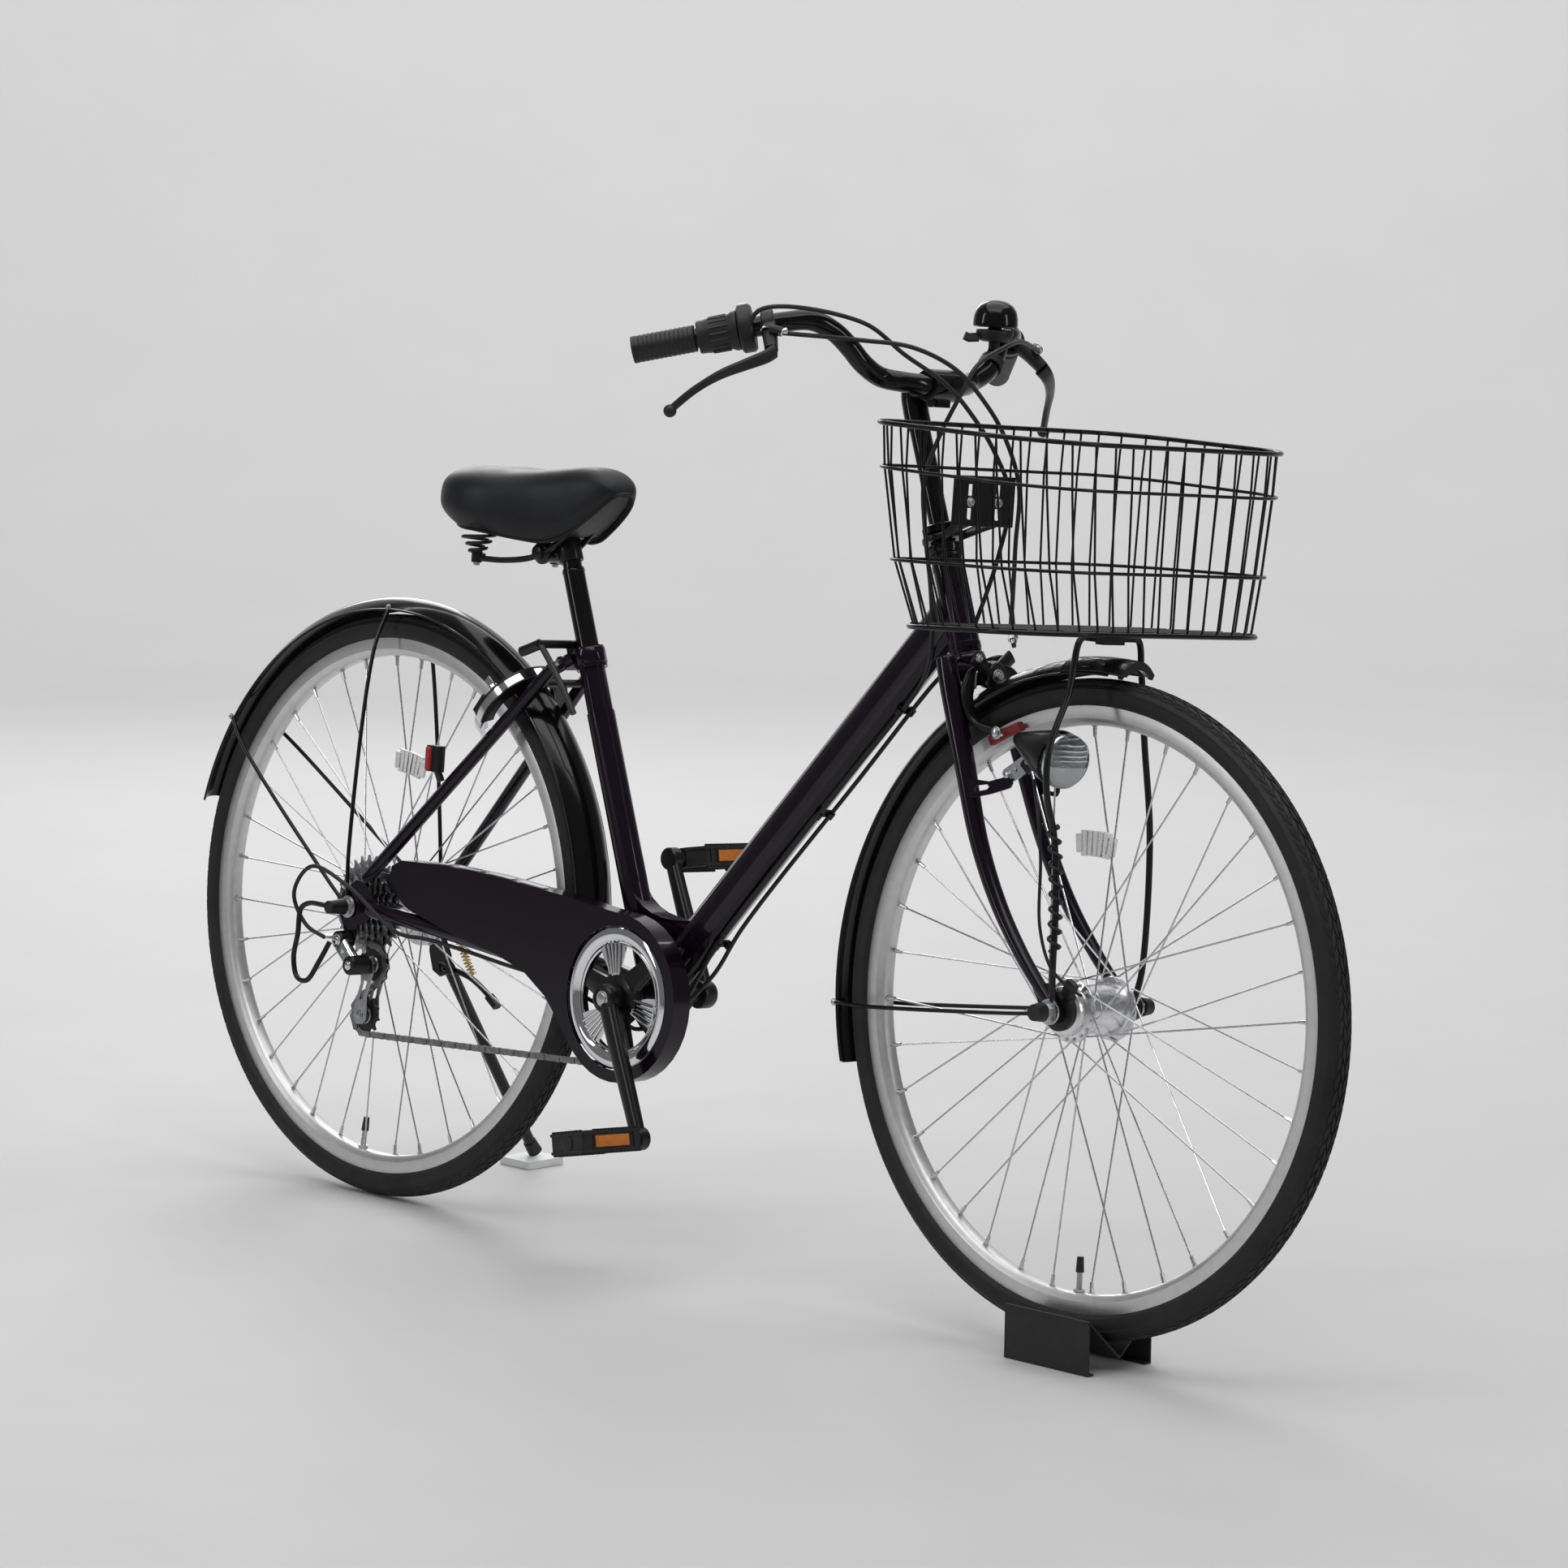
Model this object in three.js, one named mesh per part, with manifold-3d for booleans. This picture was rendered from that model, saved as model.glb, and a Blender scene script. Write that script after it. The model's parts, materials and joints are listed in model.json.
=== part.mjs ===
// A city bicycle standing on its kickstand, with its front wheel in a floor stand.
// Millimetres, +Z up. The bicycle is drawn upright: +X to the front, +Y to its left, the rear wheel's
// centre at (0, 0, TYRE_R). The last lines lean it on its kickstand and set the origin.
import * as THREE from "three";
import { ConvexGeometry } from "three/addons/geometries/ConvexGeometry.js";
import { mergeVertices } from "three/addons/utils/BufferGeometryUtils.js";
import Module from "manifold-3d";

const wasm = await Module();
wasm.setup();

// ---------- driving dimensions ----------
const TYRE_R = 341.5; // outer radius of a 27 x 1-3/8 tyre
const TYRE_HALF = 18;
const RIM_OUTER = 313.8;
const RIM_INNER = 292.5;
const WHEELBASE = 1108.5;
const FRONT_LIFT = 22.5; // the floor stand lifts the front wheel
const LEAN_DEG = 4; // lean to the left, onto the kickstand
const BOTTOM_BRACKET = [455, 293];
const TUBE_RISE_DEG = 68.62; // seat tube and steering axis
const DOWN_TUBE_RISE_DEG = 47.8;
const STEER_TOP = [792.5, 977]; // where the quill stem bends forward
const CRANK = 165;
const CRANK_DEG = -60.6; // right crank, from +X towards +Z
const CHAIN_Y = -47;
const PITCH = 12.7;
const RING_TEETH = 38;
const SPROCKETS = [14, 16, 18, 20, 24, 28]; // outermost first
const DRIVEN_TEETH = 20;
const PULLEY_TEETH = 11;
const GUIDE_PULLEY = [24, 276];
const TENSION_PULLEY = [16, 216];
const GUARD_R = 360; // crown of both mudguards
const GUARD_HALF = 25;
const GAP = 0.3;

// ---------- derived places ----------
const rad = THREE.MathUtils.degToRad;
const REAR_HUB = [0, TYRE_R];
const FRONT_HUB = [WHEELBASE, TYRE_R + FRONT_LIFT];
const STEER_DOWN = [Math.cos(rad(TUBE_RISE_DEG)), -Math.sin(rad(TUBE_RISE_DEG))];
const pitchRadius = (teeth) => PITCH / (2 * Math.sin(Math.PI / teeth));

// ---------- small helpers ----------
const P = (x, y, z) => new THREE.Vector3(x, y, z);
const at = ([x, z], y = 0) => P(x, y, z);
const LATERAL = P(0, 1, 0);

// A point beside the steering axis: s down from its top, forward of it by off.
function steer(s, off = 0, y = 0) {
  const [dx, dz] = STEER_DOWN;
  return P(STEER_TOP[0] + s * dx - off * dz, y, STEER_TOP[1] + s * dz + off * dx);
}

// A point on the seat tube's axis, t up from the bottom bracket.
function seatAxis(t, y = 0) {
  const [x, z] = BOTTOM_BRACKET;
  return P(x - t * STEER_DOWN[0], y, z - t * STEER_DOWN[1]);
}

// A point r from a hub at an angle from +X towards +Z.
function polar([x, z], r, deg, y = 0) {
  return P(x + r * Math.cos(rad(deg)), y, z + r * Math.sin(rad(deg)));
}

function signedVolume(positions, index) {
  const a = new THREE.Vector3();
  const b = new THREE.Vector3();
  const c = new THREE.Vector3();
  let sum = 0;
  for (let i = 0; i < index.length; i += 3) {
    a.fromArray(positions, 3 * index[i]);
    b.fromArray(positions, 3 * index[i + 1]);
    c.fromArray(positions, 3 * index[i + 2]);
    sum += a.dot(b.cross(c));
  }
  return sum;
}

// A closed geometry as a manifold solid, turned outwards if it was inside out.
function solidOf(geometry) {
  const source = geometry.index ? geometry.toNonIndexed() : geometry;
  const bare = new THREE.BufferGeometry();
  bare.setAttribute("position", source.getAttribute("position"));
  const merged = mergeVertices(bare, 1e-3);
  const positions = merged.attributes.position.array;
  const triangles = [];
  for (let i = 0; i < merged.index.count; i += 3) {
    const [a, b, c] = [0, 1, 2].map((k) => merged.index.array[i + k]);
    if (a !== b && b !== c && c !== a) triangles.push(a, b, c);
  }
  if (signedVolume(positions, triangles) < 0) triangles.reverse();
  return new wasm.Manifold(
    new wasm.Mesh({ numProp: 3, vertProperties: positions, triVerts: new Uint32Array(triangles) }),
  );
}

function geometryOf(solid) {
  const mesh = solid.getMesh();
  const geometry = new THREE.BufferGeometry();
  geometry.setAttribute("position", new THREE.BufferAttribute(new Float32Array(mesh.vertProperties), 3));
  geometry.setIndex(new THREE.BufferAttribute(new Uint32Array(mesh.triVerts), 1));
  geometry.computeVertexNormals();
  return geometry;
}

const join = (...pieces) => pieces.map(solidOf).reduce((a, b) => a.add(b));
const cut = (solid, ...tools) => tools.map(solidOf).reduce((a, b) => a.subtract(b), solid);

function ellipse(rx, ry = rx, sides = 12) {
  const points = [];
  for (let i = 0; i < sides; i++) {
    const turn = (2 * Math.PI * (i + 0.5)) / sides;
    points.push(new THREE.Vector2(rx * Math.cos(turn), ry * Math.sin(turn)));
  }
  return new THREE.Shape(points);
}

function rectangle(width, height) {
  const [w, h] = [width / 2, height / 2];
  return new THREE.Shape([
    new THREE.Vector2(-w, -h),
    new THREE.Vector2(w, -h),
    new THREE.Vector2(w, h),
    new THREE.Vector2(-w, h),
  ]);
}

// A straight bar: the section's first axis stays as close to the lateral axis as it can.
function beam(from, to, section, side = LATERAL) {
  const along = to.clone().sub(from);
  const options = { depth: along.length(), bevelEnabled: false };
  const geometry = new THREE.ExtrudeGeometry(section, options);
  along.normalize();
  const upward = new THREE.Vector3().crossVectors(along, side).normalize();
  const across = new THREE.Vector3().crossVectors(upward, along);
  geometry.applyMatrix4(new THREE.Matrix4().makeBasis(across, upward, along).setPosition(from));
  return geometry;
}

const bar = (from, to, radius, sides = 12) => beam(from, to, ellipse(radius, radius, sides), nearlySide(from, to));

function nearlySide(from, to) {
  const along = to.clone().sub(from).normalize();
  return Math.abs(along.y) > 0.9 ? P(1, 0, 0) : LATERAL;
}

// A tapered round bar between two points.
function taper(from, to, r0, r1, sides = 12) {
  const along = to.clone().sub(from);
  const geometry = new THREE.CylinderGeometry(r1, r0, along.length(), sides);
  const turn = new THREE.Quaternion().setFromUnitVectors(LATERAL, along.clone().normalize());
  geometry.applyQuaternion(turn);
  const middle = from.clone().addScaledVector(along, 0.5);
  geometry.translate(middle.x, middle.y, middle.z);
  return geometry;
}

// A bent rod of constant section through its points.
function bent(points, radius, steps, sides = 8) {
  const path = new THREE.CatmullRomCurve3(points, false, "centripetal");
  const section = typeof radius === "number" ? ellipse(radius, radius, sides) : radius;
  return new THREE.ExtrudeGeometry(section, { steps, extrudePath: path, bevelEnabled: false });
}

// A flat outline in the side view, between two distances to the left.
function sidePlate(outline, yLow, yHigh, holes = []) {
  const shape = new THREE.Shape(outline.map(([x, z]) => new THREE.Vector2(x, z)));
  holes.forEach((hole) => shape.holes.push(new THREE.Path(hole.map(([x, z]) => new THREE.Vector2(x, z)))));
  const geometry = new THREE.ExtrudeGeometry(shape, { depth: yHigh - yLow, bevelEnabled: false });
  geometry.applyMatrix4(new THREE.Matrix4().makeBasis(P(1, 0, 0), P(0, 0, 1), P(0, -1, 0)));
  geometry.translate(0, yHigh, 0);
  return geometry;
}

// A solid turned about a lateral axis: the profile is a list of [radius, y] that starts and ends on
// the axis, or closes on itself.
function turned([x, z], profile, segments = 24, closed = false) {
  const points = profile.map(([r, y]) => new THREE.Vector2(r, y));
  if (closed) points.push(points[0].clone());
  const geometry = new THREE.LatheGeometry(points, segments);
  geometry.translate(x, 0, z);
  return geometry;
}

const disc = (centre, radius, yLow, yHigh, segments = 24) =>
  turned(centre, [[0, yLow], [radius, yLow], [radius, yHigh], [0, yHigh]], segments);

const washer = (centre, inner, outer, yLow, yHigh, segments = 24) =>
  turned(centre, [[inner, yLow], [outer, yLow], [outer, yHigh], [inner, yHigh]], segments, true);

function block(low, high) {
  const size = high.map((v, i) => v - low[i]);
  const geometry = new THREE.BoxGeometry(...size);
  geometry.translate(...low.map((v, i) => v + size[i] / 2));
  return geometry;
}

function arc([x, z], radius, fromDeg, toDeg, count) {
  const points = [];
  for (let i = 0; i <= count; i++) {
    const turn = rad(fromDeg + ((toDeg - fromDeg) * i) / count);
    points.push([x + radius * Math.cos(turn), z + radius * Math.sin(turn)]);
  }
  return points;
}

// A strip of even thickness beside a list of 2D points, as one closed outline.
function strip(points, thickness) {
  const far = points.map(([x, z], i) => {
    const [ax, az] = points[Math.max(i - 1, 0)];
    const [bx, bz] = points[Math.min(i + 1, points.length - 1)];
    const length = Math.hypot(bx - ax, bz - az);
    return [x - ((bz - az) * thickness) / length, z + ((bx - ax) * thickness) / length];
  });
  return [...points, ...far.reverse()];
}

// ---------- materials and assembly ----------
function finish(color, roughness, metalness) {
  return new THREE.MeshStandardMaterial({ color, roughness, metalness });
}
const PAINT = finish(0x120a14, 0.15, 0.4);
const GLOSS_BLACK = finish(0x08080a, 0.12, 0.1);
const SATIN_BLACK = finish(0x141416, 0.45, 0.2);
const MATT_BLACK = finish(0x1b1b1c, 0.8, 0.1);
const TYRE_RUBBER = finish(0x161616, 0.85, 0);
const RESIN = finish(0x1a1a1c, 0.6, 0);
const VINYL = finish(0x17181b, 0.5, 0);
const SILVER = finish(0xb9bbbd, 0.35, 0.9);
const ZINC = finish(0xa9aca9, 0.4, 0.9);
const CHROME = finish(0xd6d8da, 0.08, 1);
const CHAIN_STEEL = finish(0x6f6c66, 0.4, 0.8);
const CLEAR = finish(0xe8edf0, 0.05, 0);
const WHITE_CARD = finish(0xdfe3e3, 0.7, 0);

const bike = new THREE.Group();
const assembly = new THREE.Group();

function add(name, shape, material, group = bike) {
  const geometry = shape.isBufferGeometry ? geometryOf(solidOf(shape)) : geometryOf(shape);
  const mesh = new THREE.Mesh(geometry, material.clone());
  mesh.name = name;
  group.add(mesh);
  return mesh;
}

// ---------- frame ----------
const BB_HALF = 35;
const SEAT_TUBE_R = 15.9;
const SEAT_TUBE_TOP = 404; // along its axis from the bottom bracket
const HEAD_TUBE_R = 17;
const HEAD_TUBE = [176, 288]; // along the steering axis

function mainFrame() {
  const centre = at(BOTTOM_BRACKET);
  const slope = rad(DOWN_TUBE_RISE_DEG);
  const headJoint = centre.clone().add(P(Math.cos(slope), 0, Math.sin(slope)).multiplyScalar(624));
  const downTube = beam(centre, headJoint, ellipse(17.5, 25, 14));
  const seatTube = bar(centre, seatAxis(SEAT_TUBE_TOP - 75), SEAT_TUBE_R, 14);
  const sleeve = bar(seatAxis(SEAT_TUBE_TOP - 78), seatAxis(SEAT_TUBE_TOP), 14.6, 14);
  const lug = bar(seatAxis(SEAT_TUBE_TOP - 24), seatAxis(SEAT_TUBE_TOP), 18, 14);
  const headTube = bar(steer(HEAD_TUBE[0]), steer(HEAD_TUBE[1]), HEAD_TUBE_R, 16);
  const shell = disc(BOTTOM_BRACKET, 21, -BB_HALF, BB_HALF, 20);
  const web = sidePlate(gussetOutline(), -13, 13);
  const body = join(downTube, seatTube, sleeve, lug, headTube, shell, web);
  return cut(
    body,
    disc(BOTTOM_BRACKET, 10.5, -60, 60, 16),
    bar(seatAxis(150), seatAxis(SEAT_TUBE_TOP + 5), 12.8, 14),
    bar(steer(HEAD_TUBE[0] - 5), steer(HEAD_TUBE[1] + 5), 14.2, 14),
  );
}

// The curved web between the seat tube and the down tube.
function gussetOutline() {
  const onSeat = seatAxis(125);
  const slope = rad(DOWN_TUBE_RISE_DEG);
  const [x, z] = BOTTOM_BRACKET;
  const onDown = [x + 118 * Math.cos(slope), z + 118 * Math.sin(slope) + 8];
  const curve = new THREE.QuadraticBezierCurve(
    new THREE.Vector2(onSeat.x + 8, onSeat.z),
    new THREE.Vector2(x - 8, z + 78),
    new THREE.Vector2(...onDown),
  );
  return [[x, z], ...curve.getPoints(7).reverse().map((p) => [p.x, p.y]), [onSeat.x - 4, onSeat.z]];
}

// One dropout plate with its hanger, pierced for the axle.
function dropout(side, hanger) {
  const plate = [[-16, 330], [-10, 322], [12, 320], [44, 336], [44, 352], [26, 372], [10, 374], [-14, 356]];
  const outline = hanger ? [[-16, 330], [-8, 318], [-6, 296], [8, 296], [14, 320], ...plate.slice(3)] : plate;
  const [low, high] = side < 0 ? [-69, -65] : [65, 69];
  return sidePlate(outline, low, high);
}

const STAY_PATH = [[34, 66, 342], [82, 60, 338], [128, 49, 332], [240, 45, 321], [340, 38, 308], [424, 26, 297]];
function chainStays() {
  const pieces = [];
  for (const side of [-1, 1]) {
    pieces.push(bent(STAY_PATH.map(([x, y, z]) => P(x, y * side, z)), 9.5, 9, 10));
    pieces.push(dropout(side, side < 0));
  }
  pieces.push(bar(P(392, -36, 300), P(392, 36, 300), 8, 10));
  const keepClear = disc(BOTTOM_BRACKET, 21 + GAP, -60, 60, 20);
  return cut(join(...pieces), keepClear, disc(REAR_HUB, 5.4, -80, 80, 16));
}

const STAY_TOP = [283, 644];
const STAY_END = [25, 372.6];
function seatStays() {
  const pieces = [];
  for (const side of [-1, 1]) {
    pieces.push(bar(P(STAY_TOP[0], 31 * side, STAY_TOP[1]), P(STAY_END[0], 66 * side, STAY_END[1] + 4), 7.6, 10));
    pieces.push(bar(P(STAY_TOP[0] - 4, 31.5 * side, STAY_TOP[1] - 4), P(298, 15 * side, 657), 7.6, 10));
  }
  pieces.push(bar(P(290, -26, 651), P(290, 26, 651), 8, 10));
  pieces.push(bar(P(266, -33, 626), P(266, 33, 626), 5, 8));
  const lugSpace = bar(seatAxis(300), seatAxis(SEAT_TUBE_TOP + 20), 18 + GAP, 14);
  const plateSpace = [block([-20, -69.4, 300], [44.4, -64.2, 377.5]), block([-20, 64.2, 300], [44.4, 69.4, 377.5])];
  return cut(join(...pieces), lugSpace, ...plateSpace);
}

// ---------- chain case and mudguards ----------
const CASE_R = 94;
const CASE_OUT = -61;
const CASE_IN = -36;
const CASE_WALL = 2;

function caseOutline(inset) {
  const ring = arc(BOTTOM_BRACKET, CASE_R - inset, 82, -142, 22);
  const lower = [[366, 252], [338, 280], [300, 303], [250, 317], [180, 329], [95, 349]];
  const upper = [[56, 372], [62, 396], [78, 404], [150, 407], [240, 405], [360, 396], [430, 389]];
  const shifted = lower.map(([x, z]) => [x, z + inset]);
  const lowered = upper.map(([x, z], i) => [x + (i < 2 ? inset : 0), z - inset]);
  return [...ring, ...shifted, ...lowered];
}

function chainCase() {
  const shell = join(sidePlate(caseOutline(0), CASE_OUT, CASE_IN));
  return cut(
    shell,
    sidePlate(caseOutline(CASE_WALL), CASE_OUT + CASE_WALL, CASE_IN + 5),
    disc(BOTTOM_BRACKET, 80.5, CASE_OUT - 5, CASE_IN + 5, 40),
    block([20, CASE_OUT + CASE_WALL, 352], [80, CASE_IN + 5, 394]),
    block([330, CHAIN_Y - 8, 206], [419, CASE_IN + 5, 232]),
    bent(STAY_PATH.map(([x, y, z]) => P(x, -y, z)), 10.2, 9, 10),
  );
}

// A mudguard: an arched strip swept round the wheel.
function guardSection(half, depth, thickness) {
  const points = [];
  for (let i = -3; i <= 3; i++) {
    const across = (half * i) / 3;
    points.push([across, -depth * (i / 3) ** 2]);
  }
  const outline = strip(points, -thickness);
  return outline;
}

// The arched section cut from a full ring by a wedge, so that both ends are closed.
function guardSolid(hub, fromDeg, toDeg, steps) {
  const profile = guardSection(GUARD_HALF, 15, 1.6).map(([across, rise]) => [GUARD_R + rise, across]);
  const ring = solidOf(turned(hub, profile, steps, true));
  const wedge = [[hub[0], hub[1]], ...arc(hub, 500, fromDeg, toDeg, 12)];
  return ring.intersect(solidOf(sidePlate(wedge, -60, 60)));
}

function frontMudguard() {
  const nose = sidePlate(
    [[1098, 724], [1118, 726.4], [1140, 722], [1141, 706], [1134, 712], [1112, 719.5]],
    -15,
    15,
  );
  const arch = guardSolid(FRONT_HUB, 88, 196.5, 56);
  const tab = bar(steer(280, 4), steer(330, 4), 24, 12);
  return arch.add(solidOf(nose)).subtract(solidOf(tab));
}

function rearMudguard() {
  return guardSolid(REAR_HUB, 2, 165, 50);
}

// ---------- wheels ----------
function tyre(hub) {
  const profile = [
    [304.8, -9.2], [314.2, -10.2], [314.2, -13.4], [323, -TYRE_HALF], [334, -14.2], [TYRE_R, -4],
    [TYRE_R, 4], [334, 14.2], [323, TYRE_HALF], [314.2, 13.4], [314.2, 10.2], [304.8, 9.2],
  ];
  return turned(hub, profile, 40, true);
}

function rim(hub) {
  const profile = [
    [RIM_INNER, -6.5], [RIM_OUTER, -12.7], [RIM_OUTER, -10.7], [303.4, -9.8],
    [303.4, 9.8], [RIM_OUTER, 10.7], [RIM_OUTER, 12.7], [RIM_INNER, 6.5],
  ];
  return turned(hub, profile, 40, true);
}

// Thirty-six crossed spokes, held together at the rim by a thin ring.
function spokes(hub, flangeR, flangeY) {
  const pieces = [washer(hub, RIM_INNER - 4, RIM_INNER - 1.4, -4.5, 4.5, 36)];
  for (let i = 0; i < 36; i++) {
    const side = i % 2 ? 1 : -1;
    const lead = Math.floor(i / 2) % 2 ? 62 : -62;
    const turn = 5 + 10 * i;
    const y = flangeY[side < 0 ? 0 : 1] + (lead > 0 ? 4 : -4) * side;
    const foot = polar(hub, flangeR, turn + lead, y);
    pieces.push(bar(foot, polar(hub, RIM_INNER - 2.7, turn, 2.5 * side), 1.25, 3));
  }
  return join(...pieces);
}

function hubShell(hub, bore, rings) {
  const outer = rings;
  const profile = [[bore, outer[0][1]], ...outer, [bore, outer[outer.length - 1][1]]];
  return turned(hub, profile, 18, true);
}

const FRONT_FLANGES = [-31, 31];
const REAR_FLANGES = [-27, 29];

function frontHub() {
  const rings = [
    [22, -46], [26, -43], [26, -32.4], [33, -32.4], [33, -29.6], [26, -29.6],
    [26, 29.6], [33, 29.6], [33, 32.4], [24, 32.4], [16, 45],
  ];
  return hubShell(FRONT_HUB, 5.6, rings);
}

function rearHub() {
  const rings = [
    [14, -35.5], [14, -28.4], [23, -28.4], [23, -25.6], [14, -25.6],
    [14, 27.6], [23, 27.6], [23, 30.4], [14, 30.4], [14, 36],
  ];
  return hubShell(REAR_HUB, 5.6, rings);
}

// A plain threaded axle with a nut and washer outside each fork end.
function axle(hub, end, plateFace) {
  const reach = end;
  const rings = [[0, -reach], [5, -reach + 1], [5, -plateFace - 10], [9, -plateFace - 10], [9, -plateFace - GAP]];
  const mirrored = rings.map(([r, y]) => [r, -y]).reverse();
  return turned(hub, [...rings, [5, -plateFace - GAP], [5, plateFace + GAP], ...mirrored], 12);
}

function cassette() {
  const profile = [[6, -36.2]];
  SPROCKETS.slice().reverse().forEach((teeth, i) => {
    const y = -37.4 - 4.8 * i;
    const outer = pitchRadius(teeth) - (teeth === DRIVEN_TEETH ? 4.6 : 0);
    const limit = pitchRadius(DRIVEN_TEETH) - 4.6;
    const r = i < 3 ? outer : Math.min(outer, limit);
    profile.push([r, i ? y + 3.7 : y + 1.2], [r, y - 1]);
  });
  profile.push([6, -62.8]);
  return turned(REAR_HUB, profile, 24, true);
}

// ---------- chain ----------
const CHAIN_WHEELS = [
  { centre: REAR_HUB, r: pitchRadius(DRIVEN_TEETH), turn: -1 },
  { centre: BOTTOM_BRACKET, r: pitchRadius(RING_TEETH), turn: -1 },
  { centre: TENSION_PULLEY, r: pitchRadius(PULLEY_TEETH), turn: -1 },
  { centre: GUIDE_PULLEY, r: pitchRadius(PULLEY_TEETH), turn: 1 },
];

// Where a belt leaves wheel a and reaches wheel b.
function tangent(a, b) {
  const dx = b.centre[0] - a.centre[0];
  const dz = b.centre[1] - a.centre[1];
  const k = b.turn * b.r - a.turn * a.r;
  const square = dx * dx + dz * dz;
  const length = Math.sqrt(square - k * k);
  const ux = (length * dx + k * dz) / square;
  const uz = (length * dz - k * dx) / square;
  const point = (w) => [w.centre[0] + w.turn * w.r * uz, w.centre[1] - w.turn * w.r * ux];
  return [point(a), point(b)];
}

// The chain's centre line: straight runs and the arcs round the four wheels.
function chainLine() {
  const line = [];
  const runs = CHAIN_WHEELS.map((w, i) => tangent(w, CHAIN_WHEELS[(i + 1) % CHAIN_WHEELS.length]));
  CHAIN_WHEELS.forEach((w, i) => {
    const arrive = runs[(i + runs.length - 1) % runs.length][1];
    const leave = runs[i][0];
    const angle = ([x, z]) => Math.atan2(z - w.centre[1], x - w.centre[0]);
    let sweep = angle(leave) - angle(arrive);
    if (w.turn > 0 && sweep < 0) sweep += 2 * Math.PI;
    if (w.turn < 0 && sweep > 0) sweep -= 2 * Math.PI;
    const count = Math.max(3, Math.ceil(Math.abs(sweep) / rad(20)));
    for (let j = 0; j <= count; j++) {
      const turn = angle(arrive) + (sweep * j) / count;
      line.push([w.centre[0] + w.r * Math.cos(turn), w.centre[1] + w.r * Math.sin(turn)]);
    }
  });
  return line;
}

function offsetLoop(loop, distance) {
  return loop.map(([x, z], i) => {
    const [ax, az] = loop[(i + loop.length - 1) % loop.length];
    const [bx, bz] = loop[(i + 1) % loop.length];
    const length = Math.hypot(bx - ax, bz - az);
    return [x - ((bz - az) * distance) / length, z + ((bx - ax) * distance) / length];
  });
}

function chain() {
  const line = chainLine();
  const outer = sidePlate(offsetLoop(line, 3.3), CHAIN_Y - 2.6, CHAIN_Y + 2.6);
  const inner = sidePlate(offsetLoop(line, -3.3), CHAIN_Y - 9, CHAIN_Y + 9);
  return cut(join(outer), inner);
}

// ---------- cranks and pedals ----------
const SPINDLE_R = 8.5;
const crankEnd = (side) => polar(BOTTOM_BRACKET, CRANK, side < 0 ? CRANK_DEG : CRANK_DEG + 180, 88 * side);

function chainring() {
  const r = pitchRadius(RING_TEETH);
  const pieces = [
    washer(BOTTOM_BRACKET, 60, r - 5, CHAIN_Y - 1, CHAIN_Y + 1, 30),
    washer(BOTTOM_BRACKET, 64, 78, -58, -55, 30),
    washer(BOTTOM_BRACKET, 16, 25, -62, -46, 20),
  ];
  for (let i = 0; i < 3; i++) {
    const turn = 30 + 120 * i;
    pieces.push(beam(polar(BOTTOM_BRACKET, 20, turn, -52), polar(BOTTOM_BRACKET, 67, turn, -52), rectangle(12, 24)));
  }
  return join(...pieces);
}

function crankArm(side) {
  const end = crankEnd(side);
  const boss = at(BOTTOM_BRACKET, 73 * side);
  const inner = 62.4 * side;
  const outer = 82 * side;
  const [low, high] = side < 0 ? [outer, inner] : [inner, outer];
  const eye = [end.x, end.z];
  const eyeSpan = [end.y - 7, end.y + 7];
  return join(
    disc(BOTTOM_BRACKET, 16, low, high, 16),
    beam(boss, end, rectangle(13, 24)),
    disc(eye, 13, ...eyeSpan, 14),
  );
}

function crankLeft() {
  const spindle = solidOf(disc(BOTTOM_BRACKET, SPINDLE_R, -62, 64, 14));
  return crankArm(1).add(spindle);
}

const crankRight = () => crankArm(-1);

const PEDAL_TILT = 12;
const PEDAL_PLAN = [[-14, 0], [14, 0], [32, 16], [32, 86], [26, 99], [-26, 99], [-32, 86], [-32, 16]];

function pedal(side) {
  const end = crankEnd(side);
  const near = Math.abs(end.y) + 8.5;
  const shape = new THREE.Shape(PEDAL_PLAN.map(([x, y]) => new THREE.Vector2(x, (near + y) * side)));
  const body = new THREE.ExtrudeGeometry(shape, { depth: 26, bevelEnabled: false });
  body.translate(0, 0, -13);
  const ends = [(near + 17) * side, (near + 86) * side];
  const slots = [];
  for (const [low, high] of [[-26, -11], [11, 26]]) {
    slots.push(block([low, Math.min(...ends), -20], [high, Math.max(...ends), 20]));
  }
  return cut(join(body), ...slots).rotate([0, -PEDAL_TILT, 0]).translate([end.x, 0, end.z]);
}

// ---------- rear derailleur ----------
function derailleurKnuckle() {
  const hanger = [1, 303];
  return join(
    disc(hanger, 11, -86, -69.8, 14),
    beam(P(1, -79, 303), P(26, -79, 274), rectangle(14, 24)),
    disc(GUIDE_PULLEY, 12, -86, -60, 14),
  );
}

function derailleurCage() {
  const [gx, gz] = GUIDE_PULLEY;
  const [tx, tz] = TENSION_PULLEY;
  const outline = [
    [gx - 9, gz + 7], [gx + 9, gz + 7], [gx + 13, gz - 10], [tx + 13, tz + 14], [tx + 12, tz - 12],
    [tx - 10, tz - 12], [tx - 12, tz + 12], [gx - 12, gz - 12],
  ];
  const plates = [sidePlate(outline, -57.6, -55.6), sidePlate(outline, -38.4, -36.4)];
  const pins = [GUIDE_PULLEY, TENSION_PULLEY].map((c) => disc(c, 3, -57, -37, 10));
  return join(...plates, ...pins);
}

function pulley(centre) {
  return washer(centre, 3.4, pitchRadius(PULLEY_TEETH) - 4.2, CHAIN_Y - 3, CHAIN_Y + 3, 22);
}

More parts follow.
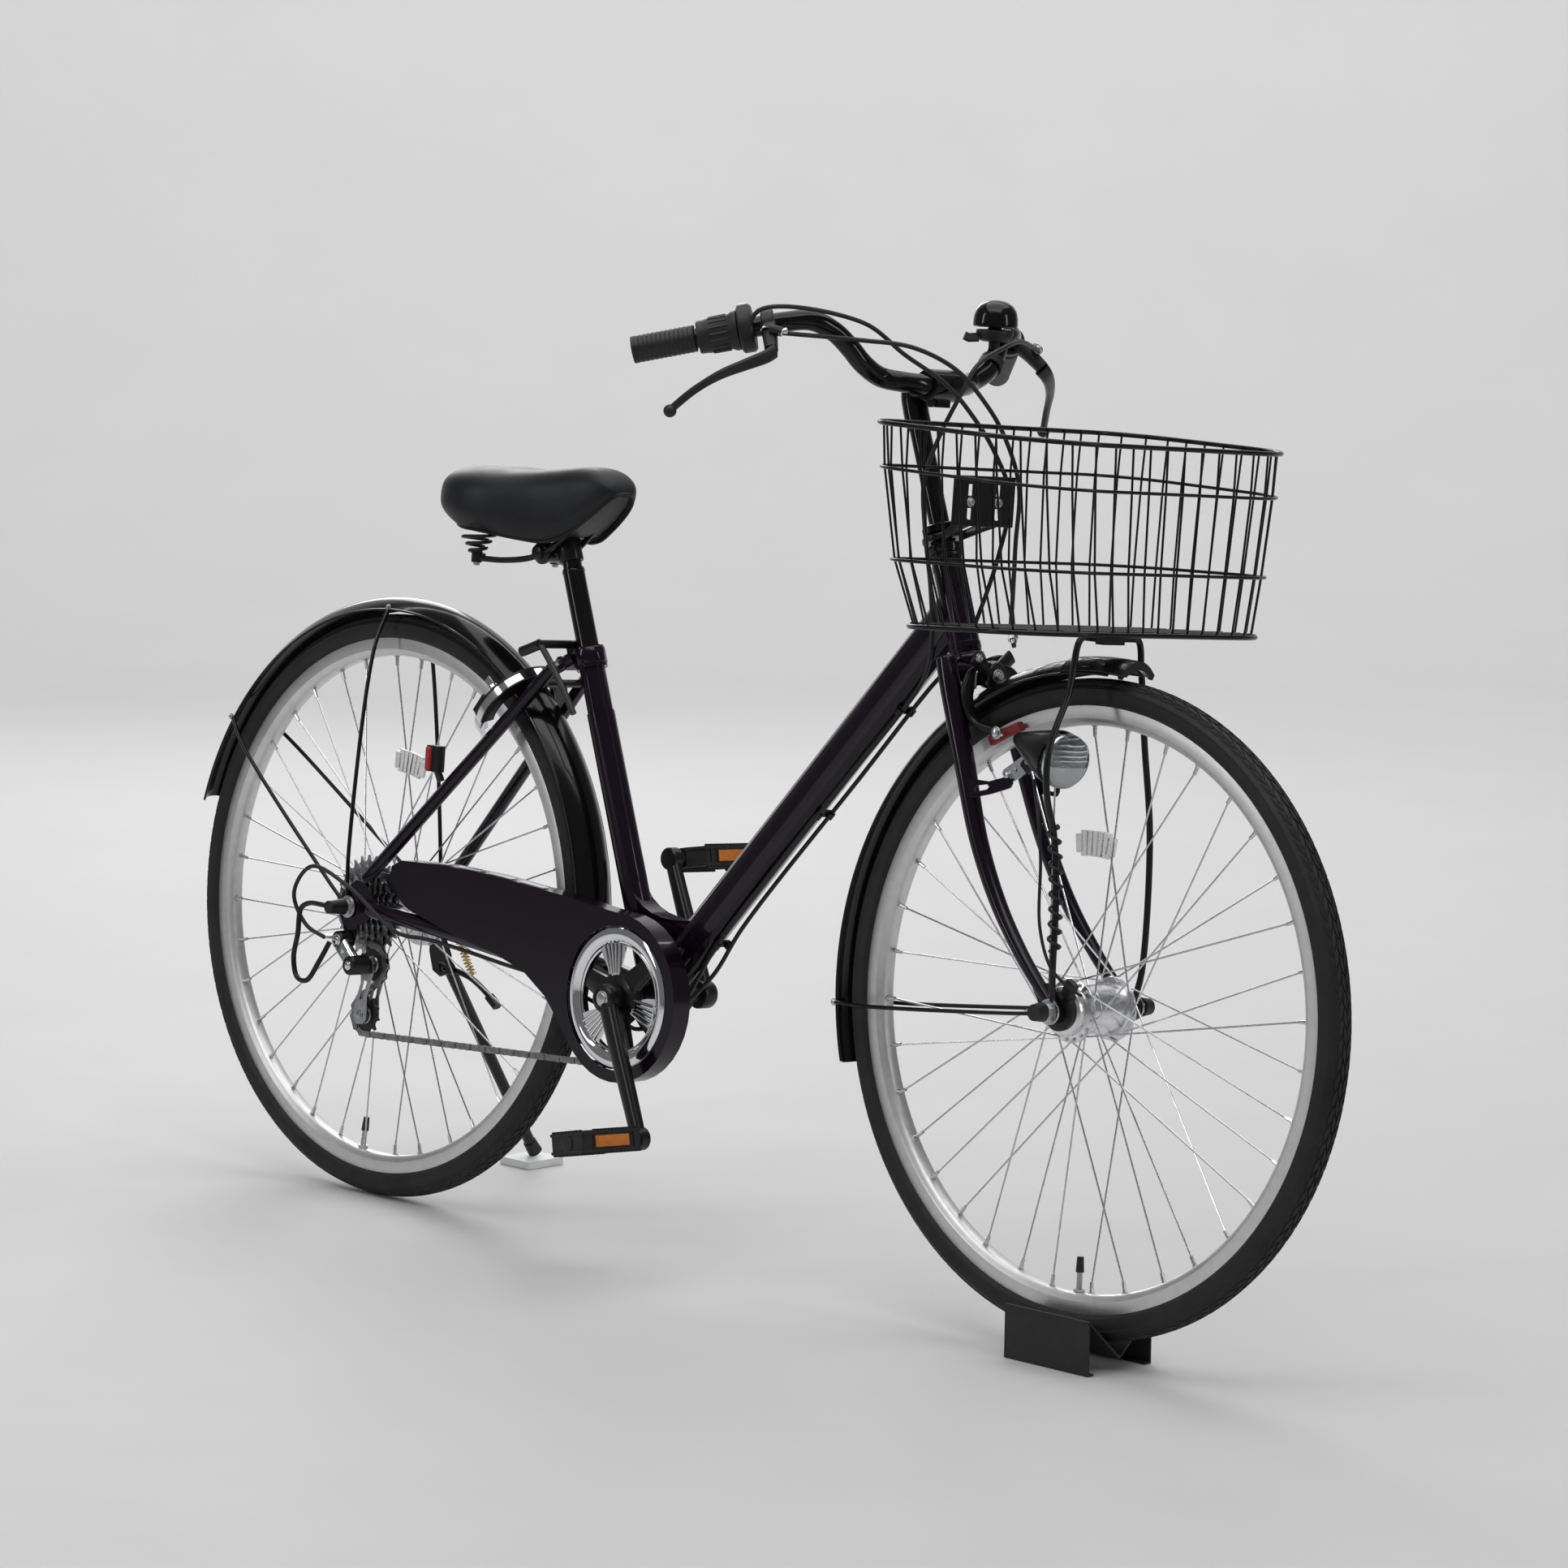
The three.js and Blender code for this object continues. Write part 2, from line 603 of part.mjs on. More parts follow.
// ---------- rear brake, lock, kickstand ----------
function bandBrake() {
  const profile = [
    [9, 38], [48, 38], [48, 53], [44, 57], [24, 58], [20, 64], [9, 64],
  ];
  const drum = turned(REAR_HUB, profile, 28, true);
  const arm = beam(P(38, 50, 330), P(92, 50, 312), rectangle(5, 16));
  return cut(join(drum, arm), bent(STAY_PATH.map(([x, y, z]) => P(x, y, z)), 10.2, 9, 10));
}

const LOCK_DEG = 51.5;
const LOCK_R = 322; // the ring's centre, from the wheel's
const LOCK_RING = 47;

// Moves a shape drawn in the lock's own plane (first axis to the left, second axis away from the hub).
function onLock(geometry) {
  const outward = polar([0, 0], 1, LOCK_DEG);
  const along = new THREE.Vector3().crossVectors(LATERAL, outward);
  const place = new THREE.Matrix4().makeBasis(LATERAL, outward, along);
  place.setPosition(polar(REAR_HUB, LOCK_R, LOCK_DEG));
  geometry.applyMatrix4(place);
  return geometry;
}

function lockOutline(inner, outer, fromDeg, toDeg) {
  const ring = [...arc([0, 0], outer, fromDeg, toDeg, 16), ...arc([0, 0], inner, toDeg, fromDeg, 16)];
  return new THREE.Shape(ring.map(([x, y]) => new THREE.Vector2(x, y)));
}

function ringLock() {
  const shape = lockOutline(LOCK_RING - 7, LOCK_RING + 10, -50, 230);
  const ring = onLock(new THREE.ExtrudeGeometry(shape, { depth: 15, bevelEnabled: false }).translate(0, 0, -8));
  const groove = lockOutline(LOCK_RING - 4.4, LOCK_RING + 4.4, -60, 250);
  const track = onLock(new THREE.ExtrudeGeometry(groove, { depth: 8.6, bevelEnabled: false }).translate(0, 0, -4.3));
  return cut(join(ring), track);
}

function lockBolt() {
  const shape = lockOutline(LOCK_RING - 3.2, LOCK_RING + 3.2, 60, 222);
  return onLock(new THREE.ExtrudeGeometry(shape, { depth: 7, bevelEnabled: false }).translate(0, 0, -3.5));
}

const KICK_PIVOT = P(12, 78, 269);
const KICK_FOOT = P(-20, 265, 31);

function kickstand() {
  const hinge = bar(P(12, 71, 261), P(12, 84, 271), 9, 12);
  const leg = taper(KICK_PIVOT, KICK_FOOT.clone().add(P(0.5, -3, 5)), 7.5, 6.5, 10);
  const foot = taper(KICK_FOOT.clone().add(P(1.5, -9, 14)), KICK_FOOT.clone().add(P(0, 0, 1.5)), 8, 8.5, 10);
  const tang = bent([P(12, 82, 266), P(40, 90, 258), P(70, 94, 242), P(84, 96, 228)], 3.4, 8, 6);
  return join(hinge, leg, foot, tang);
}

// ---------- seat ----------
function seatPost() {
  const top = SEAT_TUBE_TOP + 128;
  return join(
    bar(seatAxis(SEAT_TUBE_TOP - 130), seatAxis(top - 36), 12.5, 14),
    bar(seatAxis(top - 40), seatAxis(top), 11, 12),
  );
}

function saddleFrame() {
  const pieces = [];
  const clamp = seatAxis(SEAT_TUBE_TOP + 116);
  pieces.push(bar(clamp.clone().add(P(-17, -24, 4)), clamp.clone().add(P(-17, 24, 4)), 14, 12));
  pieces.push(bar(seatAxis(SEAT_TUBE_TOP + 98), seatAxis(SEAT_TUBE_TOP + 136), 16, 12));
  for (const side of [-1, 1]) {
    const rail = [P(176, 62 * side, 775), P(205, 44 * side, 774), P(232, 20 * side, 781), P(275, 16 * side, 792)];
    pieces.push(bent([...rail, P(318, 9 * side, 806)], 3.6, 9, 6));
    pieces.push(bar(P(170, 64 * side, 773), P(170, 64 * side, 803), 11, 8));
  }
  pieces.push(bar(P(318, -12, 806), P(318, 12, 806), 4.5, 8));
  pieces.push(block([158, -72, 800], [180, 72, 805]));
  return cut(join(...pieces), bar(seatAxis(SEAT_TUBE_TOP + 60), seatAxis(SEAT_TUBE_TOP + 128 + GAP), 11 + GAP, 12));
}

const SADDLE = { low: 783, high: 875 };

// Plan outline of the saddle: broad and rounded behind, narrow at the nose.
function saddlePlan(inset) {
  const half = [
    [92, 0], [95, 34], [104, 56], [122, 73], [148, 83], [176, 84],
    [204, 76], [232, 63], [262, 50], [300, 38], [338, 27], [354, 0],
  ];
  const left = half.map(([x, y]) => new THREE.Vector2(x, y));
  const right = half.slice(1, -1).reverse().map(([x, y]) => new THREE.Vector2(x, -y));
  const centre = new THREE.Vector2(200, 0);
  return new THREE.Shape(
    [...left, ...right].map((p) => p.sub(centre).multiplyScalar(1 - inset / 80).add(centre)),
  );
}

function saddle() {
  const body = new THREE.ExtrudeGeometry(saddlePlan(0), { depth: SADDLE.high - SADDLE.low, bevelEnabled: false });
  const pocket = new THREE.ExtrudeGeometry(saddlePlan(6), { depth: 28, bevelEnabled: false });
  body.translate(0, 0, SADDLE.low);
  pocket.translate(0, 0, SADDLE.low - 2);
  const crown = [
    [60, 890], [60, 826], [96, 850], [118, 864], [165, 867], [211, 865],
    [268, 872], [302, 875], [326, 871], [354, 852], [380, 890],
  ];
  const sag = [
    [60, 770], [60, 806], [108, 801], [184, 792], [225, 787], [263, 784],
    [291, 794], [309, 807], [331, 822], [356, 842], [400, 770],
  ];
  return cut(join(body), pocket, sidePlate(crown, -130, 130), sidePlate(sag, -130, 130));
}

function seatClampLever() {
  const pin = P(286, 0, 672);
  return join(
    bar(pin.clone().add(P(0, -57, 0)), pin.clone().add(P(0, 17, 0)), 5, 10),
    bar(pin.clone().add(P(0, -54, 0)), P(258, -54, 661), 5, 10),
    bent([P(286, -54, 671), P(302, -54, 656), P(328, -54, 626), P(349, -54, 599)], 3.8, 8, 8),
  );
}

// ---------- fork and steering ----------
function fork() {
  const pieces = [];
  for (const side of [-1, 1]) {
    const path = [
      steer(302, 6, 38 * side), steer(400, 8, 45 * side), steer(490, 10, 50 * side), steer(560, 22, 53 * side),
      steer(620, 42, 55 * side), steer(672, 65, 56 * side),
    ];
    pieces.push(bent(path, 10, 9, 10));
    const foot = FRONT_HUB;
    const [low, high] = side < 0 ? [-58.5, -54.5] : [54.5, 58.5];
    const tip = steer(655, 57);
    const outline = [[foot[0] - 13, foot[1] - 6], [foot[0], foot[1] - 13], [foot[0] + 13, foot[1] - 4],
      [foot[0] + 8, foot[1] + 12], [tip.x + 12, tip.z + 6], [tip.x - 8, tip.z - 6]];
    pieces.push(sidePlate(outline, low, high));
    const tab = steer(438, 26);
    const tabEnd = side < 0 ? P(1022, -55.4, 592) : P(tab.x + 14, 50, tab.z - 2);
    pieces.push(beam(steer(430, 8, 50 * side), tabEnd, rectangle(4, 17)));
  }
  pieces.push(beam(steer(306, 4, -46), steer(306, 4, 46), rectangle(28, 24), P(STEER_DOWN[1] * -1, 0, STEER_DOWN[0])));
  pieces.push(bar(steer(290), steer(300), 17, 14));
  pieces.push(bar(steer(150), steer(308), 12.6, 14));
  pieces.push(bar(steer(142), steer(152), 19.5, 14));
  return cut(
    join(...pieces),
    disc(FRONT_HUB, 5.4, -80, 80, 14),
    disc(FRONT_HUB, 36, -53, 53, 20),
    disc(FRONT_HUB, 14, -80, -58.8, 16),
    disc(FRONT_HUB, 14, 58.8, 80, 16),
    bar(steer(100), steer(290), 11.6, 14),
  );
}

function stem() {
  const clamp = P(830, 0, 992);
  const neck = [steer(30), steer(8), steer(-8, 6), P(806, 0, 989), P(818, 0, 991)];
  return cut(
    join(
      bar(steer(20), steer(262), 11.1, 14),
      bent(neck, 14, 8, 10),
      bar(clamp.clone().add(P(0, -21, 0)), clamp.clone().add(P(0, 21, 0)), 17, 16),
      bar(clamp.clone().add(P(-2, -9, -17)), clamp.clone().add(P(-2, 9, -17)), 9, 10),
    ),
    bar(clamp.clone().add(P(0, -40, 0)), clamp.clone().add(P(0, 40, 0)), 12, 16),
  );
}

// Half of the handlebar's centre line; the other half mirrors it.
const BAR_HALF = [
  [830, 0, 992], [830, 24, 992], [821, 48, 993.5], [809, 68, 997], [807, 94, 1010], [802, 110, 1026],
  [794, 126, 1041], [784, 150, 1051], [766, 172, 1048], [728, 206, 1035], [652, 273.5, 1009],
];
const GRIP_END = P(650, 275.3, 1008.4);
const GRIP_AXIS = P(766, 172, 1048).sub(P(652, 273.5, 1009)).normalize();

function handlebar() {
  const left = BAR_HALF.map(([x, y, z]) => P(x, y, z));
  const right = BAR_HALF.slice(1).reverse().map(([x, y, z]) => P(x, -y, z));
  return bent([...right, ...left], 11, 44, 10);
}

// A point on a grip's axis, d inboard of its outer end.
function onGrip(d, side) {
  const p = GRIP_END.clone().addScaledVector(GRIP_AXIS, d);
  return P(p.x, p.y * side, p.z);
}

function sleeveOnGrip(from, to, radius, side, sides = 14) {
  return bar(onGrip(from, side), onGrip(to, side), radius, sides);
}

function grip(side, length) {
  const outside = join(sleeveOnGrip(-2, length, 14.6, side));
  return cut(outside, sleeveOnGrip(1.2, length + 5, 12, side, 12));
}

function shiftGrip() {
  const outside = join(sleeveOnGrip(68.4, 108, 18.5, -1), sleeveOnGrip(104, 112, 21, -1));
  return cut(outside, sleeveOnGrip(60, 118, 12.2, -1));
}

function shifterHousing() {
  const outside = join(sleeveOnGrip(112.6, 128, 25.5, -1, 16));
  return cut(outside, sleeveOnGrip(100, 140, 12, -1));
}

const LEVER_PIVOT_D = { "-1": 141, 1: 141 };

// A frame on the grip: inboard along the bar, forwards and down across it.
function leverPoint(d, forwards, down, side) {
  const base = onGrip(d, side);
  const axis = P(GRIP_AXIS.x, GRIP_AXIS.y * side, GRIP_AXIS.z);
  const lower = P(0, 0, -1).addScaledVector(axis, axis.z).normalize();
  const fore = new THREE.Vector3().crossVectors(axis, lower).normalize().multiplyScalar(side);
  return base.addScaledVector(fore, forwards).addScaledVector(lower, down);
}

function leverBracket(side) {
  const d = LEVER_PIVOT_D[side];
  const body = join(
    sleeveOnGrip(d - 4, d + 9, 16, side, 12),
    beam(leverPoint(d + 2, 10, 4, side), leverPoint(d + 2, 30, 22, side), rectangle(12, 20)),
  );
  return cut(body, sleeveOnGrip(d - 30, d + 30, 12, side));
}

function brakeLever(side) {
  const d = LEVER_PIVOT_D[side];
  const path = [
    leverPoint(d + 3, 38, 31, side), leverPoint(d - 18, 46, 36, side), leverPoint(d - 50, 52, 42, side),
    leverPoint(d - 85, 52, 54, side), leverPoint(d - 108, 52, 68, side),
  ];
  const knob = new THREE.SphereGeometry(7, 10, 8);
  knob.translate(...leverPoint(d - 112, 52, 71, side).toArray());
  return join(bent(path, ellipse(4.2, 7, 8), 12), knob);
}

function bell() {
  const foot = P(804, 106, 1030);
  const body = join(
    bar(foot, foot.clone().add(P(0, 0, 14)), 6, 8),
    taper(foot.clone().add(P(0, 0, 13)), foot.clone().add(P(0, 0, 25)), 15, 19, 14),
    bar(foot.clone().add(P(0, 0, 24)), foot.clone().add(P(0, 0, 28)), 8, 8),
    taper(foot.clone().add(P(0, 0, 27)), foot.clone().add(P(0, 0, 42)), 23.5, 22, 14),
    taper(foot.clone().add(P(0, 0, 41)), foot.clone().add(P(0, 0, 56)), 22, 9, 14),
  );
  return cut(body, bent(BAR_HALF.slice(3, 8).map(([x, y, z]) => P(x, y, z)), 11.6, 12, 12));
}

// ---------- front brake, lamp, basket ----------
const CALIPER_PIVOT = P(930, 0, 694);

function caliper(side) {
  const px = CALIPER_PIVOT.x + (side < 0 ? 0 : 9.5);
  const pz = CALIPER_PIVOT.z;
  const shoe = polar(FRONT_HUB, 303, 115.5);
  const path = [
    P(px, 0, pz), P(px, 22 * side, pz - 2), P(px + 3, 34 * side, pz - 18), P(px + 16, 33 * side, shoe.z + 10),
    P(shoe.x - 2, 24 * side, shoe.z),
  ];
  const body = join(
    bar(P(px - 4, 0, pz), P(px + 4, 0, pz), 7, 12),
    bent(path, 4, 12, 8),
    beam(polar(FRONT_HUB, 303, 119, 18.8 * side), polar(FRONT_HUB, 303, 111, 18.8 * side), rectangle(10, 11)),
    bar(P(px, 0, pz), P(px, -32 * side, pz + 20), 4, 8),
  );
  return cut(body, bar(P(px - 20, 0, pz), P(px + 20, 0, pz), 3, 8));
}

const LAMP_HINGE = P(1016, -50, 597);
const LAMP_BACK = P(1026, -50, 636);
const LAMP_FRONT = P(1106, -50, 616);

function lampPoint(share, down = 0) {
  return LAMP_BACK.clone().lerp(LAMP_FRONT, share).add(P(0, 0, -down));
}

function lampHousing() {
  return join(
    taper(lampPoint(0), lampPoint(0.62), 8, 29, 16),
    bar(lampPoint(0.61), lampPoint(0.72), 29, 16),
    beam(lampPoint(0.25, 6), LAMP_HINGE, rectangle(4, 16)),
  );
}

function lampLens() {
  return taper(lampPoint(0.72).add(P(GAP, 0, 0)), lampPoint(1), 29, 25, 16);
}

const BASKET = { low: 738, high: 950, rear: 912.5, front: 1187.5, half: 210, corner: 90 };

// The basket's outline at a height: a rounded rectangle that narrows downwards.
function basketRim(z, grow) {
  const share = (z - BASKET.low) / (BASKET.high - BASKET.low);
  const shrink = 20 * (1 - share) - grow;
  const [rear, front] = [BASKET.rear + shrink, BASKET.front - shrink];
  const half = BASKET.half - shrink * 1.1;
  const r = BASKET.corner;
  const corners = [
    [front - r, half - r, 0], [rear + r, half - r, 90], [rear + r, r - half, 180], [front - r, r - half, 270],
  ];
  return corners.flatMap(([x, y, start]) => arc([x, y], r, start, start + 90, 5).map(([a, b]) => P(a, b, z)));
}

function basket() {
  const outer = new ConvexGeometry([...basketRim(BASKET.low, 0), ...basketRim(BASKET.high, 0)]);
  const inner = new ConvexGeometry([...basketRim(BASKET.low + 3, -3), ...basketRim(BASKET.high + 1, -3)]);
  return cut(join(outer), inner).warp((point) => {
    const depth = (BASKET.high - point[2]) / (BASKET.high - BASKET.low);
    const ahead = (point[0] - BASKET.rear) / (BASKET.front - BASKET.rear);
    point[0] += 10 * depth;
    point[2] += depth * (7 + 10 * ahead);
  });
}

function basketBracket() {
  const slots = [];
  for (const side of [-1, 1]) {
    for (const z of [862, 884]) slots.push(block([900, 22 * side - 4, z], [916, 22 * side + 4, z + 9]));
  }
  const body = join(
    block([905, -47, 848], [908, 45, 901]),
    ...[-1, 1].map((side) => beam(steer(158, 12, 12 * side), P(906, 18 * side, 852), rectangle(3, 9))),
    bar(steer(156), steer(160), 22, 16),
  );
  return cut(body, bar(steer(150), steer(170), 13.6, 14), ...slots);
}

function basketStay() {
  const z = BASKET.low + 6;
  const right = [
    P(1111, -62.7, 374), P(1113, -68, 402), P(1112, -70, 480), P(1107, -74, 545), P(1104, -86, 588),
    P(1103, -86, 632), P(1099, -58, 690), P(1097, -52, 712),
  ];
  const left = [P(1097, 52, 712), P(1101, 60, 640), P(1110, 69, 540), P(1113, 68, 402), P(1111, 62.7, 374)];
  const rod = bent([...right, P(1097, -42, z), P(1097, 0, z), P(1097, 42, z), ...left], 3.6, 42, 6);
  const eyes = [-1, 1].map((side) => {
    const [low, high] = side < 0 ? [-63.4, -59.4] : [59.4, 63.4];
    return disc(FRONT_HUB, 12, low, high, 14);
  });
  return cut(join(rod, ...eyes), disc(FRONT_HUB, 5.4, -80, 80, 14));
}

// ---------- cables held by the bicycle ----------
function frontBrakeCable() {
  const path = [
    leverPoint(158, 31, 12, -1), P(820, -112, 1034), P(860, -75, 1030), P(886, -35, 1010), P(899, -2, 978),
    P(902, 28, 944), P(902, 56, 892), P(903, 56, 830), P(910, 50, 772), P(920, 40, 742), P(931, 35, 724),
  ];
  return bent(path, 2.5, 34, 6);
}

// Points along the underside of the down tube, s up from the bottom bracket.
function underTube(s, y, drop = 29) {
  const slope = rad(DOWN_TUBE_RISE_DEG);
  const [x, z] = BOTTOM_BRACKET;
  return P(x + s * Math.cos(slope) + drop * Math.sin(slope), y, z + s * Math.sin(slope) - drop * Math.cos(slope));
}

function shiftCable() {
  const path = [
    leverPoint(120.5, 31, 4, -1), leverPoint(141, 40, -16, -1), P(817, -106, 1052), P(846, -72, 1022), P(876, -38, 994),
    P(886, -2, 960), P(888, 30, 926), P(888, 58, 880), P(884, 52, 820), P(878, 36, 760), P(868, 22, 712),
    underTube(540, 9), underTube(400, 9), underTube(150, 9), underTube(80, 3, 41), underTube(8, -12, 37), P(448, -21, 256),
    P(420, -25, 268), P(340, -30, 289), P(290, -31, 297), P(240, -40, 304), P(180, -47, 312), P(122, -55, 318),
    P(92, -72, 322), P(24, -92, 368), P(-30, -104, 386), P(-62, -102, 350), P(-44, -96, 316), P(-16, -90, 304),
  ];
  return bent(path, 2.5, 76, 6);
}

function rearBrakeCable() {
  const path = [
    leverPoint(158, 31, 12, 1), P(838, 110, 1044), P(860, 62, 1036), P(860, 24, 1016), P(856, 6, 984),
    P(846, -12, 938), P(842, -26, 892), P(852, -30, 840), P(866, -30, 780), P(868, -25, 730), P(857, -16, 698),
    underTube(540, -9), underTube(400, -9), underTube(120, -9), underTube(60, 2), underTube(4, 14), P(448, 21, 261),
    P(420, 25, 270), P(340, 30, 289), P(290, 31, 297), P(240, 40, 304), P(180, 47, 308), P(130, 50, 308), P(98, 50, 308),
  ];
  return bent(path, 2.5, 60, 6);
}

function lampLead() {
  const path = [
    P(1052, -50, 596), P(1066, -62, 584), P(1090, -82, 566), P(1100, -84, 520), P(1102, -80, 450), P(1120, -78, 410),
    P(1136, -66, 392), P(1140, -52, 384),
  ];
  return bent(path, 1.8, 30, 6);
}

// ---------- floor pieces ----------
const STAND = { rear: -48, front: 70, half: 48, top: 57, groove: 15.6, sheet: 2, shift: 4 };

// A folded sheet: two upright sides whose tops turn down into a groove for the tyre.
function wheelStand() {
  const { half, top, groove, sheet } = STAND;
  const right = [[half - 9, 0], [half, 0], [half, top], [half - 2, top], [1.6, groove]];
  const left = right.map(([y, z]) => [-y, z]).reverse();
  const outer = [...right, ...left];
  const innerHalf = [[half - 9, sheet], [half - sheet, sheet], [half - sheet, top - 3.4], [1.6, groove - 2.9]];
  const inner = [...innerHalf, ...innerHalf.map(([y, z]) => [-y, z]).reverse()].reverse();
  const shape = new THREE.Shape([...outer, ...inner].map(([y, z]) => new THREE.Vector2(y, z)));
  const geometry = new THREE.ExtrudeGeometry(shape, { depth: STAND.front - STAND.rear, bevelEnabled: false });
  geometry.applyMatrix4(new THREE.Matrix4().makeBasis(P(0, 1, 0), P(0, 0, 1), P(1, 0, 0)));
  geometry.translate(WHEELBASE + STAND.rear, STAND.shift, 0);
  return geometry;
}

function footBlock(foot) {
  return block([foot.x - 26, foot.y - 34, 0], [foot.x + 26, foot.y + 22, 9]);
}

// ---------- the whole object ----------
add("main_frame", mainFrame(), PAINT);
add("chain_stays", chainStays(), PAINT);
add("seat_stays", seatStays(), PAINT);
add("chain_case", chainCase(), PAINT);
add("rear_mudguard", rearMudguard(), GLOSS_BLACK);
add("ring_lock", ringLock(), CHROME);
add("lock_bolt", lockBolt(), CHROME);
add("rear_brake", bandBrake(), ZINC);
add("rear_axle", axle(REAR_HUB, 84, 69), SATIN_BLACK);
add("chain", chain(), CHAIN_STEEL);
add("seat_post", seatPost(), SATIN_BLACK);
add("saddle_frame", saddleFrame(), SATIN_BLACK);
add("saddle", saddle(), VINYL);
add("seat_clamp_lever", seatClampLever(), SATIN_BLACK);
add("fork", fork(), PAINT);
add("front_axle", axle(FRONT_HUB, 78, 66), SATIN_BLACK);
add("front_mudguard", frontMudguard(), GLOSS_BLACK);
add("basket_bracket", basketBracket(), SATIN_BLACK);
add("basket", basket(), SATIN_BLACK);
add("basket_stay", basketStay(), SATIN_BLACK);
add("caliper_arm_right", caliper(-1), SATIN_BLACK);
add("caliper_arm_left", caliper(1), SATIN_BLACK);
add("headlight_housing", lampHousing(), SATIN_BLACK);
add("headlight_lens", lampLens(), CLEAR);
add("stem", stem(), SATIN_BLACK);
add("handlebar", handlebar(), SATIN_BLACK);
add("grip_right", grip(-1, 68), RESIN);
add("grip_left", grip(1, 126), RESIN);
add("shift_grip", shiftGrip(), RESIN);
add("shifter_housing", shifterHousing(), RESIN);
add("lever_bracket_right", leverBracket(-1), SATIN_BLACK);
add("lever_bracket_left", leverBracket(1), SATIN_BLACK);
add("brake_lever_right", brakeLever(-1), SATIN_BLACK);
add("brake_lever_left", brakeLever(1), SATIN_BLACK);
add("bell", bell(), GLOSS_BLACK);
add("front_tyre", tyre(FRONT_HUB), TYRE_RUBBER);
add("front_rim", rim(FRONT_HUB), SILVER);
add("front_spokes", spokes(FRONT_HUB, 30, FRONT_FLANGES, 5), ZINC);
add("front_hub", frontHub(), SILVER);
const rearTyre = add("rear_tyre", tyre(REAR_HUB), TYRE_RUBBER);
add("rear_rim", rim(REAR_HUB), SILVER);
add("rear_spokes", spokes(REAR_HUB, 20, REAR_FLANGES, 2.5), ZINC);
add("rear_hub", rearHub(), SILVER);
add("cassette", cassette(), SATIN_BLACK);
add("chainring", chainring(), CHROME);
add("crank_right", crankRight(), SATIN_BLACK);
add("crank_left", crankLeft(), SATIN_BLACK);
add("pedal_right", pedal(-1), RESIN);
add("pedal_left", pedal(1), RESIN);
add("derailleur_knuckle", derailleurKnuckle(), SATIN_BLACK);
add("derailleur_cage", derailleurCage(), ZINC);
add("guide_pulley", pulley(GUIDE_PULLEY), RESIN);
add("tension_pulley", pulley(TENSION_PULLEY), RESIN);
add("kickstand_leg", kickstand(), SATIN_BLACK);
add("front_brake_cable", frontBrakeCable(), RESIN);
add("shift_cable", shiftCable(), RESIN);
add("rear_brake_cable", rearBrakeCable(), RESIN);
add("lamp_lead", lampLead(), RESIN);

bike.rotation.x = -rad(LEAN_DEG);
bike.updateMatrixWorld(true);
bike.position.z = -new THREE.Box3().setFromObject(rearTyre, true).min.z;
bike.updateMatrixWorld(true);

assembly.add(bike);
add("wheel_stand", wheelStand(), MATT_BLACK, assembly);
add("foot_block", footBlock(KICK_FOOT.clone().applyMatrix4(bike.matrixWorld)), WHITE_CARD, assembly);

// The origin is the middle of the object's box, on the floor.
assembly.updateMatrixWorld(true);
const bounds = new THREE.Box3().setFromObject(assembly, true);
assembly.position.set(
  -(bounds.min.x + bounds.max.x) / 2,
  -(bounds.min.y + bounds.max.y) / 2,
  -bounds.min.z,
);

const root = new THREE.Group();
root.add(assembly);
export default root;
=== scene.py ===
import json
import math
import bmesh
import bpy
from mathutils import Matrix, Vector
from mathutils.geometry import tessellate_polygon


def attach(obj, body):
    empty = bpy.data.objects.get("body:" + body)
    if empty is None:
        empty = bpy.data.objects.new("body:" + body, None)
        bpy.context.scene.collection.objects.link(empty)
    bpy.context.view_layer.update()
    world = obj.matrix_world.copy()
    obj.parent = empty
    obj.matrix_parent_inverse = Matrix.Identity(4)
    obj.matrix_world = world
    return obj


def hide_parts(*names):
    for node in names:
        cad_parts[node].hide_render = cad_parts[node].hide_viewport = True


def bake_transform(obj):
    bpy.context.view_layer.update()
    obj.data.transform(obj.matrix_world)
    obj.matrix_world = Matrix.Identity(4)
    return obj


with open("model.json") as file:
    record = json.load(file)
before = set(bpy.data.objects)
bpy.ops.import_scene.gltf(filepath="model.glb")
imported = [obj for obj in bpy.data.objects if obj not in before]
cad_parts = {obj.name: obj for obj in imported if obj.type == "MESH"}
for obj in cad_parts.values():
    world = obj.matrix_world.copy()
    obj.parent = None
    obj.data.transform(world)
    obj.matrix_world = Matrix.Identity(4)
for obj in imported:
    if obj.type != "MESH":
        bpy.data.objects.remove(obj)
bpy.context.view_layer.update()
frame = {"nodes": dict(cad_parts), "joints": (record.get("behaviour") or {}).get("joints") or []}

cos, sin, rad = math.cos, math.sin, math.radians

# ---------- the bicycle's own frame: millimetres, +x ahead, +y left, rear hub at (0, 0, 341.5) ----------
JOINTS = {j["name"]: j for j in frame["joints"]}
REAR, FRONT, BB = (0, 341.5), (1108.5, 364.0), (455, 293)
HUB = Vector(JOINTS["rear_wheel_turn"]["pos_m"])
LEFT = Vector(JOINTS["rear_wheel_turn"]["axis"]).normalized()
AHEAD = Vector((1, 0, 0))
UP = AHEAD.cross(LEFT)


def turned(v):
    """A direction of the bicycle as a direction of the room, in which the bicycle leans."""
    return AHEAD * v[0] + LEFT * v[1] + UP * v[2]


def B(p):
    """A point of the leaning bicycle, in millimetres, as a place in the CAD's metres."""
    return HUB + turned((p[0], p[1], p[2] - REAR[1])) / 1000


def V(*p):
    """A vector in the bicycle's own millimetres."""
    return Vector(p)


